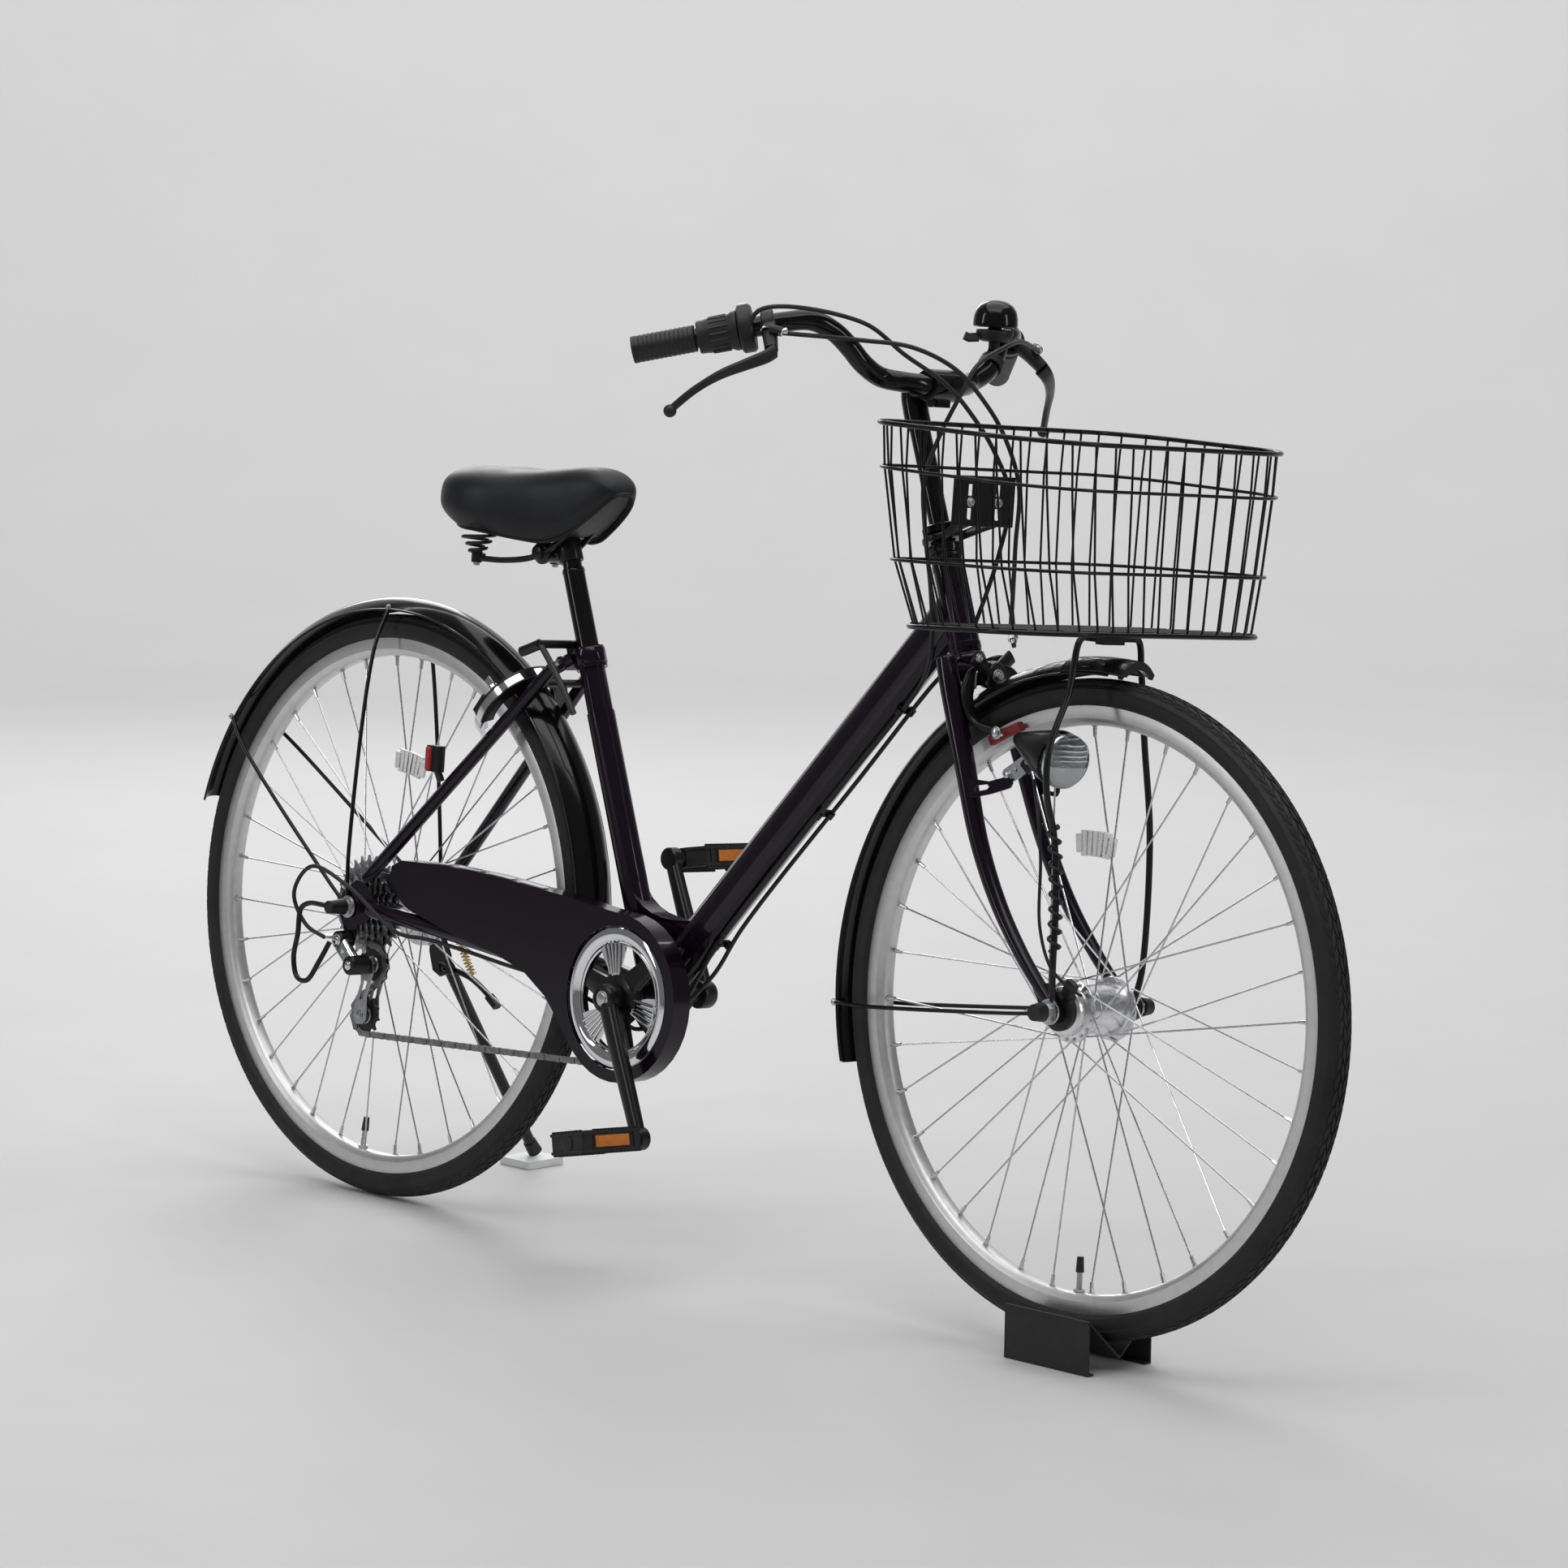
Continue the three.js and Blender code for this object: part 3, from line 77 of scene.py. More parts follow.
# The head tube and the seat tube lean alike: DOWN points down along both, and STEER_DIR is the same in 3-D.
RISE = rad(68.62)
DOWN = (cos(RISE), -sin(RISE))
STEER_TOP = (792.5, 977)
STEER_DIR = V(DOWN[0], 0, DOWN[1])
LAT, UPWARD, FORWARD = V(0, 1, 0), V(0, 0, 1), V(1, 0, 0)
DOWN_TUBE_RISE = rad(47.8)
ALONG_TUBE = V(cos(DOWN_TUBE_RISE), 0, sin(DOWN_TUBE_RISE))


def steer(s, off=0, y=0):
    """A point s down the steering axis from its top, and off ahead of the axis."""
    return V(STEER_TOP[0] + s * DOWN[0] - off * DOWN[1], y, STEER_TOP[1] + s * DOWN[1] + off * DOWN[0])


def seat_axis(t, y=0):
    """A point t up the seat tube from the bottom bracket."""
    return V(BB[0] - t * DOWN[0], y, BB[1] - t * DOWN[1])


def polar(hub, r, deg, y=0):
    """A point at radius r around a hub, at an angle that starts ahead and turns upwards."""
    return V(hub[0] + r * cos(rad(deg)), y, hub[1] + r * sin(rad(deg)))


def at(hub, y):
    """A point on the axle of a hub."""
    return V(hub[0], y, hub[1])


CHAIN_PITCH = 12.7


def pitch_radius(teeth):
    return CHAIN_PITCH / (2 * sin(math.pi / teeth))


# ---------- camera, lights, floor ----------
CAMERA_YAW = 0.7936
AWAY = V(-sin(CAMERA_YAW), cos(CAMERA_YAW), 0)
ACROSS = V(cos(CAMERA_YAW), sin(CAMERA_YAW), 0)


def camera():
    pitch, roll = 0.0773, 0.0665
    back = V(sin(CAMERA_YAW) * cos(pitch), -cos(CAMERA_YAW) * cos(pitch), sin(pitch))
    level = (-back).cross(UPWARD).normalized()
    upright = level.cross(-back)
    right = level * cos(roll) + upright * sin(roll)
    up = upright * cos(roll) - level * sin(roll)
    data = bpy.data.cameras.new("camera")
    data.sensor_width = 36
    data.lens = 127.05
    data.clip_end = 200
    ob = bpy.data.objects.new("camera", data)
    place = Matrix([turned(v) for v in (right, up, back)]).transposed().to_4x4()
    place.translation = B((4912.8, -4207.3, 1013.9))
    ob.matrix_world = place
    bpy.context.collection.objects.link(ob)
    bpy.context.scene.camera = ob


def area(name, place, aim, size, energy):
    data = bpy.data.lights.new(name, "AREA")
    data.shape = "RECTANGLE"
    data.size, data.size_y = size
    data.energy = energy
    ob = bpy.data.objects.new(name, data)
    ob.location = place
    ob.rotation_euler = (Vector(aim) - Vector(place)).to_track_quat("-Z", "Y").to_euler()
    bpy.context.collection.objects.link(ob)


def studio():
    area("top_light", (0.2, 0.1, 4.8), (0, 0, 0), (6.6, 5.0), 186)
    area("wall_light", AWAY * 5.4 + V(0, 0, 8.0), AWAY * 10 + V(0, 0, 4.0), (14, 2.5), 725)
    area("floor_light", AWAY * -3.4 + V(0, 0, 5.5), AWAY * -1.6, (6.5, 2.0), 46)
    area("key_light", (-1.9, -4.4, 2.6), (0, 0, 0.6), (0.5, 2.6), 34)
    area("side_light", (4.6, 1.2, 2.0), (0.3, 0, 0.6), (0.5, 2.4), 26)
    area("rim_light", (-3.8, 2.4, 2.6), (0, 0, 0.6), (1.6, 2.2), 36)
    world = bpy.data.worlds.new("world")
    bpy.context.scene.world = world
    world.use_nodes = True
    world.node_tree.nodes["Background"].inputs["Color"].default_value = (0.90, 0.90, 0.92, 1)
    world.node_tree.nodes["Background"].inputs["Strength"].default_value = 0.16
    bpy.context.scene.view_settings.view_transform = "Standard"


# ---------- materials ----------
def material(name, color, rough, metallic=0.0, vary=0.12, scale=40, rough_vary=0.06, bump=0.03,
             bump_scale=700, coat=0.0, transmission=0.0, ior=1.46, cells=False, flakes=0.0, shine=0.5):
    """A principled material whose colour, roughness and surface all vary through noise."""
    mat = bpy.data.materials.new(name)
    mat.use_nodes = True
    nodes, links = mat.node_tree.nodes, mat.node_tree.links
    bsdf = nodes["Principled BSDF"]
    where = nodes.new("ShaderNodeTexCoord").outputs["Object"]

    def noise(size, detail=4):
        n = nodes.new("ShaderNodeTexNoise")
        n.inputs["Scale"].default_value = size
        n.inputs["Detail"].default_value = detail
        links.new(where, n.inputs["Vector"])
        return n

    ramp = nodes.new("ShaderNodeValToRGB")
    ramp.color_ramp.elements[0].position = 0.3
    ramp.color_ramp.elements[1].position = 0.72
    ramp.color_ramp.elements[0].color = (*[c * (1 - vary) for c in color], 1)
    ramp.color_ramp.elements[1].color = (*[min(1, c * (1 + vary)) for c in color], 1)
    links.new(noise(scale).outputs["Fac"], ramp.inputs["Fac"])
    shade = ramp.outputs["Color"]
    if flakes:
        vor = nodes.new("ShaderNodeTexVoronoi")
        vor.inputs["Scale"].default_value = 2600
        links.new(where, vor.inputs["Vector"])
        bright = nodes.new("ShaderNodeValToRGB")
        bright.color_ramp.elements[0].color = (*[min(1, c * 7 + flakes * 0.03) for c in color], 1)
        bright.color_ramp.elements[1].position = 0.26
        bright.color_ramp.elements[1].color = (0, 0, 0, 1)
        links.new(vor.outputs["Distance"], bright.inputs["Fac"])
        mix = nodes.new("ShaderNodeMix")
        mix.data_type = "RGBA"
        mix.blend_type = "ADD"
        mix.inputs["Factor"].default_value = flakes
        links.new(shade, mix.inputs["A"])
        links.new(bright.outputs["Color"], mix.inputs["B"])
        shade = mix.outputs["Result"]
    links.new(shade, bsdf.inputs["Base Color"])
    span = nodes.new("ShaderNodeMapRange")
    span.inputs["To Min"].default_value = max(0.02, rough - rough_vary)
    span.inputs["To Max"].default_value = min(1, rough + rough_vary)
    links.new(noise(scale * 2.3, 3).outputs["Fac"], span.inputs["Value"])
    links.new(span.outputs["Result"], bsdf.inputs["Roughness"])
    if cells:
        grain = nodes.new("ShaderNodeTexVoronoi")
        grain.inputs["Scale"].default_value = bump_scale
        links.new(where, grain.inputs["Vector"])
        height = grain.outputs["Distance"]
    else:
        height = noise(bump_scale, 5).outputs["Fac"]
    relief = nodes.new("ShaderNodeBump")
    relief.inputs["Strength"].default_value = bump
    relief.inputs["Distance"].default_value = 0.001
    links.new(height, relief.inputs["Height"])
    links.new(relief.outputs["Normal"], bsdf.inputs["Normal"])
    bsdf.inputs["Metallic"].default_value = metallic
    bsdf.inputs["Coat Weight"].default_value = coat
    bsdf.inputs["Specular IOR Level"].default_value = shine
    bsdf.inputs["Coat Roughness"].default_value = 0.04
    bsdf.inputs["Transmission Weight"].default_value = transmission
    bsdf.inputs["IOR"].default_value = ior
    return mat


PAINT = material("violet_black_paint", (0.0085, 0.0035, 0.0105), 0.22, 0.3, coat=0.42, flakes=0.1,
                 bump=0.002, bump_scale=60, shine=0.2)
GLOSS = material("gloss_black", (0.0045, 0.0045, 0.005), 0.16, coat=0.22, bump=0.002, bump_scale=60,
                 scale=25, shine=0.25)
SATIN = material("satin_black", (0.0075, 0.0075, 0.0085), 0.32, coat=0.15, bump=0.03, bump_scale=1500,
                 shine=0.35)
WIRE = material("black_dipped_wire", (0.005, 0.005, 0.0055), 0.3, coat=0.1, bump=0.03, bump_scale=500,
                shine=0.25)
MATT = material("matt_black_powder", (0.016, 0.016, 0.017), 0.62, bump=0.12, bump_scale=1900, vary=0.2)
RUBBER = material("tyre_rubber", (0.011, 0.011, 0.0115), 0.66, bump=0.1, bump_scale=1300, vary=0.35,
                  scale=22, rough_vary=0.12)
RESIN = material("black_resin", (0.012, 0.012, 0.013), 0.48, bump=0.06, bump_scale=1700, vary=0.2)
VINYL = material("saddle_vinyl", (0.011, 0.012, 0.014), 0.42, bump=0.12, bump_scale=850, cells=True,
                 scale=18, rough_vary=0.08, shine=0.32)
SILVER = material("anodised_rim", (0.70, 0.70, 0.705), 0.44, 1.0, bump=0.02, bump_scale=900, vary=0.05,
                  scale=90)
POLISHED = material("polished_aluminium", (0.80, 0.80, 0.81), 0.27, 1.0, bump=0.004, bump_scale=300,
                    vary=0.04, rough_vary=0.03)
ZINC = material("zinc_plate", (0.62, 0.64, 0.65), 0.27, 1.0, vary=0.12, scale=120, bump=0.04,
                bump_scale=900)
CHROME = material("chrome_plate", (0.82, 0.83, 0.84), 0.07, 1.0, vary=0.03, bump=0.006, bump_scale=60,
                  rough_vary=0.02)
LINKS = material("oiled_chain", (0.27, 0.27, 0.275), 0.36, 1.0, vary=0.3, scale=160, bump=0.06,
                 bump_scale=900)
BRAKE_CHROME = material("dull_steel", (0.42, 0.43, 0.44), 0.3, 1.0, vary=0.15, scale=90, bump=0.05,
                        bump_scale=900)
CLEAR = material("clear_lens", (0.95, 0.97, 0.98), 0.04, 0.0, vary=0.01, transmission=1.0, ior=1.16,
                 bump=0.01, bump_scale=120, rough_vary=0.02)
# Near white: partly the reflectors' own pale colour, partly painted light, raised so that the headlight's
# lower plate stays bright in the basket's shade.
PRISM_WITH_PAINTED_LIGHT = material("clear_reflector_with_painted_light", (0.96, 0.97, 0.98), 0.22, 0.0, vary=0.1, bump=0.6, bump_scale=420,
                 cells=True, coat=1.0)
AMBER = material("amber_reflector", (0.62, 0.18, 0.012), 0.2, vary=0.25, bump=0.5, bump_scale=420,
                 cells=True, coat=1.0)
RED = material("red_reflector", (0.42, 0.012, 0.012), 0.2, vary=0.2, bump=0.5, bump_scale=420, cells=True,
               coat=1.0)
RED_SHOE = material("red_brake_rubber", (0.24, 0.02, 0.025), 0.6, bump=0.08, bump_scale=900, vary=0.2)
GOLD = material("yellow_zinc", (0.60, 0.47, 0.20), 0.3, 1.0, vary=0.2, scale=150, bump=0.04)
WHITE = material("white_plastic", (0.78, 0.80, 0.80), 0.4, vary=0.04, bump=0.03, bump_scale=400)
# A pale grey for the bars on the chain case's top edge: a painted highlight, the overhead light's thin bright
# line on the black case.
PAINTED_HIGHLIGHT = material("painted_highlight_strip", (0.55, 0.56, 0.56), 0.25, vary=0.1, bump=0.03, coat=0.6)
FLOOR = material("studio_floor", (0.60, 0.595, 0.60), 0.62, vary=0.012, scale=3, bump=0.01, bump_scale=120)


# ---------- mesh building, in the bicycle's millimetres ----------
def path(points, count):
    """A centripetal curve through the points, as count + 1 even steps."""
    pts = [Vector(p) for p in points]
    ext = [pts[0] * 2 - pts[1]] + pts + [pts[-1] * 2 - pts[-2]]
    dense = []
    for i in range(1, len(ext) - 2):
        p0, p1, p2, p3 = ext[i - 1:i + 3]
        t1 = max((p1 - p0).length, 1e-6) ** 0.5
        t2 = t1 + max((p2 - p1).length, 1e-6) ** 0.5
        t3 = t2 + max((p3 - p2).length, 1e-6) ** 0.5
        for k in range(16):
            t = t1 + (t2 - t1) * k / 16
            a1 = p0.lerp(p1, t / t1)
            a2 = p1.lerp(p2, (t - t1) / (t2 - t1))
            a3 = p2.lerp(p3, (t - t2) / (t3 - t2))
            dense.append(a1.lerp(a2, t / t2).lerp(a2.lerp(a3, (t - t1) / (t3 - t1)), (t - t1) / (t2 - t1)))
    dense.append(pts[-1])
    return even(dense, count)


def even(line, count):
    """The same line as count + 1 points at even steps."""
    reach = [0.0]
    for a, b in zip(line, line[1:]):
        reach.append(reach[-1] + (b - a).length)
    out, j = [], 0
    for i in range(count + 1):
        want = reach[-1] * i / count
        while j < len(line) - 2 and reach[j + 1] < want:
            j += 1
        step = reach[j + 1] - reach[j]
        out.append(line[j].lerp(line[j + 1], (want - reach[j]) / step if step > 1e-9 else 0))
    return out


def shares(count):
    return [i / (count - 1) for i in range(count)]


def circle(n):
    return [(cos(2 * math.pi * i / n), sin(2 * math.pi * i / n)) for i in range(n)]


def squared(n, power):
    """A round section drawn out towards a square one."""
    return [(math.copysign(abs(c) ** power, c), math.copysign(abs(s) ** power, s)) for c, s in circle(n)]


class Build:
    def __init__(self):
        self.verts, self.faces, self.slots = [], [], []

    def add(self, verts, faces, m=0):
        """m is the place of the faces' material in the list that done() gets."""
        base = len(self.verts)
        self.verts += [Vector(v) for v in verts]
        self.faces += [tuple(base + i for i in f) for f in faces]
        self.slots += [m] * len(faces)
        return self

    def tube(self, line, r, sides=14, m=0, side=LAT, section=None, closed=False):
        """r is one radius, a pair of half widths (side, other), or a function of the share along the line."""
        line = [Vector(p) for p in line]
        ring = section or circle(sides)
        n, verts = len(line), []
        across = None
        for i, p in enumerate(line):
            a = line[(i - 1) % n] if closed else line[max(i - 1, 0)]
            b = line[(i + 1) % n] if closed else line[min(i + 1, n - 1)]
            t = (b - a).normalized()
            if across is None:
                across = Vector(side) - t * t.dot(Vector(side))
                if across.length < 0.2:
                    across = FORWARD - t * t.x
            across = (across - t * t.dot(across)).normalized()
            other = t.cross(across)
            size = r(i / max(n - 1, 1)) if callable(r) else r
            ra, rb = size if isinstance(size, tuple) else (size, size)
            verts += [p + across * (ra * u) + other * (rb * v) for u, v in ring]
        k, faces = len(ring), []
        for i in range(n if closed else n - 1):
            for j in range(k):
                q = (i + 1) % n
                faces.append((i * k + j, i * k + (j + 1) % k, q * k + (j + 1) % k, q * k + j))
        if not closed:
            faces += [tuple(reversed(range(k))), tuple((n - 1) * k + j for j in range(k))]
        return self.add(verts, faces, m)

    def rod(self, a, b, r, sides=14, m=0, r1=None):
        a, b = Vector(a), Vector(b)
        r1 = r if r1 is None else r1
        return self.tube([a, b], lambda t: r + (r1 - r) * t, sides, m)

    def spin(self, base, axis, profile, n=48, m=0, closed=None):
        """profile: (radius, distance along the axis); it closes on itself, unless it ends on the axis."""
        closed = profile[-1][0] > 0 if closed is None else closed
        d = Vector(axis).normalized()
        u = d.cross(FORWARD if abs(d.x) < 0.9 else UPWARD).normalized()
        w = d.cross(u)
        k, verts, faces = len(profile), [], []
        spans = k if closed else k - 1
        for i in range(n):
            t = rad(360.0 * i / n)
            e = u * cos(t) + w * sin(t)
            verts += [Vector(base) + e * r + d * h for r, h in profile]
            q = (i + 1) % n
            for j in range(spans):
                after = (j + 1) % k
                faces.append((i * k + j, q * k + j, q * k + after, i * k + after))
        return self.add(verts, faces, m)

    def wheel(self, hub, profile, n=96, m=0):
        return self.spin(at(hub, 0), LAT, profile, n, m)

    def plate(self, loops, w0, w1, m=0, place=lambda u, v, w: V(u, w, v)):
        """A flat plate from w0 to w1: the first loop is its outline, and the others are holes."""
        flat = [p for loop in loops for p in loop]
        tris = tessellate_polygon([[V(u, v, 0) for u, v in loop] for loop in loops])
        n = len(flat)
        verts = [place(u, v, w0) for u, v in flat] + [place(u, v, w1) for u, v in flat]
        faces = [tuple(t) for t in tris] + [tuple(n + i for i in reversed(t)) for t in tris]
        base = 0
        for loop in loops:
            k = len(loop)
            for j in range(k):
                a, b = base + j, base + (j + 1) % k
                faces.append((a, b, n + b, n + a))
            base += k
        return self.add(verts, faces, m)

    def box(self, centre, half, m=0, x=FORWARD, y=LAT):
        x, y = Vector(x).normalized(), Vector(y).normalized()
        z = x.cross(y)
        c = Vector(centre)
        verts = [c + x * (half[0] * i) + y * (half[1] * j) + z * (half[2] * k) for i in (-1, 1)
                 for j in (-1, 1) for k in (-1, 1)]
        return self.add(verts, [(0, 1, 3, 2), (4, 6, 7, 5), (0, 4, 5, 1), (2, 3, 7, 6), (0, 2, 6, 4),
                                (1, 5, 7, 3)], m)

    def bolt(self, base, axis, r=4.0, tall=3.0, m=0):
        d = Vector(axis).normalized()
        self.spin(base, d, [(0, 0), (r * 1.35, 0), (r * 1.35, 0.8), (r * 1.1, 0.9), (0, 0.9)], 20, m)
        return self.spin(Vector(base) + d * 0.9, d,
                         [(0, 0), (r, 0), (r, tall * 0.8), (r * 0.8, tall), (0, tall)], 6, m)

    def done(self, name, body, mats, replaces=None, bevel=0.0, sharp=38, row="satin_black"):
        """Makes the object and lets it ride on a body and stand for a CAD node; the row argument is not used.
        """
        mesh = bpy.data.meshes.new(name)
        mesh.from_pydata([B(v) for v in self.verts], [], self.faces)
        mesh.polygons.foreach_set("material_index", self.slots)
        for mat in mats if isinstance(mats, list) else [mats]:
            mesh.materials.append(mat)
        mesh.validate()
        fix_normals(mesh)
        mesh.shade_smooth()
        mesh.set_sharp_from_angle(angle=rad(sharp))
        ob = bpy.data.objects.new(name, mesh)
        bpy.context.collection.objects.link(ob)
        if bevel:
            soften(ob, bevel)
        if body:
            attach(ob, body)
        if replaces:
            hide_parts(replaces)
        return ob


def fix_normals(mesh):
    """Joins corners that fall together, and turns all faces outwards."""
    bm = bmesh.new()
    bm.from_mesh(mesh)
    bmesh.ops.remove_doubles(bm, verts=bm.verts, dist=1e-7)
    bmesh.ops.recalc_face_normals(bm, faces=bm.faces)
    bm.to_mesh(mesh)
    bm.free()


def soften(ob, width):
    mod = ob.modifiers.new("edges", "BEVEL")
    mod.width = width / 1000
    mod.segments = 2
    mod.limit_method = "ANGLE"
    mod.angle_limit = rad(40)
    mod.harden_normals = True


def keep(node, mat, bevel=0.0, sharp=44):
    """A CAD node that stays, with its material, smooth shading and softened edges."""
    ob = frame["nodes"][node]
    ob.data.materials.clear()
    ob.data.materials.append(mat)
    ob.data.shade_smooth()
    ob.data.set_sharp_from_angle(angle=rad(sharp))
    if bevel:
        soften(ob, bevel)


def joined(node, body, mat, bevel=0.0, sharp=36):
    """A CAD node's own shape with its corners joined, so that its round stretches shade smoothly."""
    source = frame["nodes"][node]
    mesh = bpy.data.meshes.new(node + "_smooth")
    corners = [source.matrix_world @ v.co for v in source.data.vertices]
    mesh.from_pydata(corners, [], [tuple(p.vertices) for p in source.data.polygons])
    mesh.materials.append(mat)
    fix_normals(mesh)
    mesh.shade_smooth()
    mesh.set_sharp_from_angle(angle=rad(sharp))
    ob = bpy.data.objects.new(node + "_smooth", mesh)
    bpy.context.collection.objects.link(ob)
    if bevel:
        soften(ob, bevel)
    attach(ob, body)
    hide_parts(node)


def tilted(origin, u, v):
    """Carries a plate's outline to an origin along two directions, with its thickness to the left."""
    return lambda p, q, r: origin + u * p + v * q + LAT * r


def band(r0, r1, w0, w1):
    """The section of a plain ring: from radius r0 to r1, and from w0 to w1 along its axis."""
    return [(r0, w0), (r1, w0), (r1, w1), (r0, w1)]


def arc(centre, r, a0, a1, n):
    return [(centre[0] + r * cos(rad(a0 + (a1 - a0) * i / n)),
             centre[1] + r * sin(rad(a0 + (a1 - a0) * i / n))) for i in range(n + 1)]


# ---------- wheels ----------
SPOKES = 36


def tyre(side, hub, body):
    half = [(309, 9.2), (312.2, 10.6), (313.9, 13.0), (316.2, 15.6), (317.6, 16.9), (318.4, 16.9),
            (319.2, 17.2), (323, 17.8), (327, 17.3), (330.2, 16.4), (330.8, 16.7), (331.6, 16.0),
            (334.4, 13.6), (337.6, 9.6), (339.6, 4.6), (340.1, 0)]
    profile = half + [(r, -y) for r, y in reversed(half[:-1])]
    b = Build().wheel(hub, profile, 144)

    def crown(y):
        for (r1, y1), (r0, y0) in zip(half[::-1], half[-2::-1]):
            if abs(y) <= y0:
                return r1 + (r0 - r1) * (abs(y) - y1) / (y0 - y1)
        return 330

    count = 120
    for row, (yc, hy, lift, skew) in enumerate([(2.6, 1.9, 1.3, 0.45), (7.4, 1.9, 1.2, -0.5),
                                                (12.0, 1.7, 0.9, 0.5)]):
        for sgn in (-1, 1):
            for i in range(count):
                mid = 360 / count * (i + 0.5 * (row % 2) + (0.25 if sgn > 0 else 0))
                span = 360 / count * 0.36
                top, low = [], []
                for da, dy in ((-1, -1), (1, -1), (1, 1), (-1, 1)):
                    y = sgn * (yc + hy * dy)
                    a = mid + span * da + skew * dy * span * 1.4
                    r = crown(y)
                    low.append(polar(hub, r - 0.4, a, y))
                    top.append(polar(hub, r + lift, a, y * 0.985))
                b.add(low + top, [(4, 5, 6, 7), (0, 1, 5, 4), (1, 2, 6, 5), (2, 3, 7, 6), (3, 0, 4, 7)])
    b.done(side + "_tyre_treaded", body, RUBBER, side + "_tyre", row="tyre", sharp=50)


def rim(side, hub, body, valve_deg):
    half = [(292.6, 0), (292.8, 5.4), (294.2, 8.2), (297.4, 10.6), (300.0, 11.6), (300.4, 12.1),
            (312.6, 12.6), (313.8, 12.0), (313.6, 11.0), (311, 10.9), (305, 10.2), (304, 6)]
    profile = half + [(304, -6)] + [(r, -y) for r, y in reversed(half[1:-1])]
    b = Build().wheel(hub, profile, 144)
    for i in range(SPOKES):
        a = 5 + 10 * i
        y = 2.5 if i % 2 else -2.5
        b.rod(polar(hub, 293.2, a, y), polar(hub, 281, a, y * 1.05), 2.3, 8, 1, 1.9)
        b.rod(polar(hub, 293.4, a, y), polar(hub, 291.6, a, y), 3.4, 10, 1)
    b.rod(polar(hub, 293, valve_deg), polar(hub, 262, valve_deg), 3.1, 12, 2)
    b.rod(polar(hub, 272, valve_deg), polar(hub, 256, valve_deg), 4.6, 12, 3, 3.6)
    b.rod(polar(hub, 292.4, valve_deg), polar(hub, 289.4, valve_deg), 6.2, 6, 1)
    b.done(side + "_rim_section", body, [SILVER, ZINC, BRAKE_CHROME, RESIN], side + "_rim", row="silver")


def spokes(side, hub, body, flange_r, flange_y, reflector_deg):
    b = Build()
    for i in range(SPOKES):
        sgn = 1 if i % 2 else -1
        turn = 1 if (i // 2) % 2 else -1
        rim_deg = 5 + 10 * i
        flange_deg = rim_deg + 62 * turn
        y = flange_y[0 if sgn < 0 else 1] + 3.2 * turn * sgn
        foot = polar(hub, flange_r, flange_deg, y)
        head = polar(hub, 284, rim_deg, 2.6 * sgn)
        hooked = polar(hub, flange_r, flange_deg, y - 4.4 * turn * sgn)
        b.tube([hooked, foot, foot.lerp(head, 0.04), head], 1.0, 8)
    b.done(side + "_spokes_laced", body, ZINC, side + "_spokes", row="zinc")
    b = Build()
    for j in range(7):
        a = reflector_deg - 7 + 14 * j / 6
        b.box(polar(hub, 172, a, -11), (13.5 if 0 < j < 6 else 10, 2.2, 6.2), 0, x=polar((0, 0), 1, a),
              y=LAT)
    b.done(side + "_spoke_reflector", body, PRISM_WITH_PAINTED_LIGHT, bevel=1.5)


def front_hub():
    p = [(22, -46), (25, -44.6), (26, -42), (26, -36), (25, -34), (27.5, -33.4), (33, -32.3), (33.6, -31),
         (33, -29.7), (27.5, -29), (25.4, -27), (25.0, -12), (25.8, -11.4), (25.8, 11.4), (25.0, 12),
         (25.4, 27), (27.5, 29), (33, 29.7), (33.6, 31), (33, 32.3), (27, 33.2), (22, 36), (15, 44.6),
         (5.6, 45), (5.6, -46)]
    b = Build().wheel(FRONT, p, 96)
    for y in (-33.2, 33.2):
        for i in range(18):
            b.rod(polar(FRONT, 29.8, 20 * i + 7, y - 0.8), polar(FRONT, 29.8, 20 * i + 7, y + 0.8), 1.9, 10,
                  1)
    b.wheel(FRONT, [(5.6, -46.2), (19.5, -46.2), (20.5, -47), (20.5, -51), (12, -52.6), (5.6, -52.6)], 48,
            2)
    b.box(polar(FRONT, 27, 62, -49.5), (9, 3.6, 6.5), 2, x=polar((0, 0), 1, 62))
    b.done("front_dynamo_hub", "front_wheel", [POLISHED, ZINC, RESIN], "front_hub", row="silver", sharp=30)


def rear_hub():
    p = [(14, -35.4), (14, -29), (16, -28.4), (22.6, -28.2), (23, -27), (22.6, -25.8), (16, -25.6),
         (12.6, -22), (12, 0), (12.6, 24), (16, 27.4), (22.6, 27.6), (23, 29), (22.6, 30.2), (16, 30.6),
         (14, 36), (5.6, 36), (5.6, -35.4)]
    b = Build().wheel(REAR, p, 72)
    b.done("rear_hub_shell", "rear_wheel", POLISHED, "rear_hub", row="silver", sharp=30)
    b = Build()
    for i, teeth in enumerate((28, 24, 20, 18, 16, 14)):
        y = -37.4 - 4.8 * i
        r = pitch_radius(teeth)
        b.plate([gear(REAR, teeth, 3.0), arc(REAR, max(12, r * 0.55), 0, -348.75, 31)], y - 0.95, y + 0.95)
        b.wheel(REAR, band(8, max(13, r * 0.58), y - 2.9, y - 1), 40)
    b.wheel(REAR, band(6, 13.5, -36.4, -62.6), 40, 1)
    b.done("sprocket_stack", "rear_wheel", [BRAKE_CHROME, SATIN], "cassette", sharp=30)


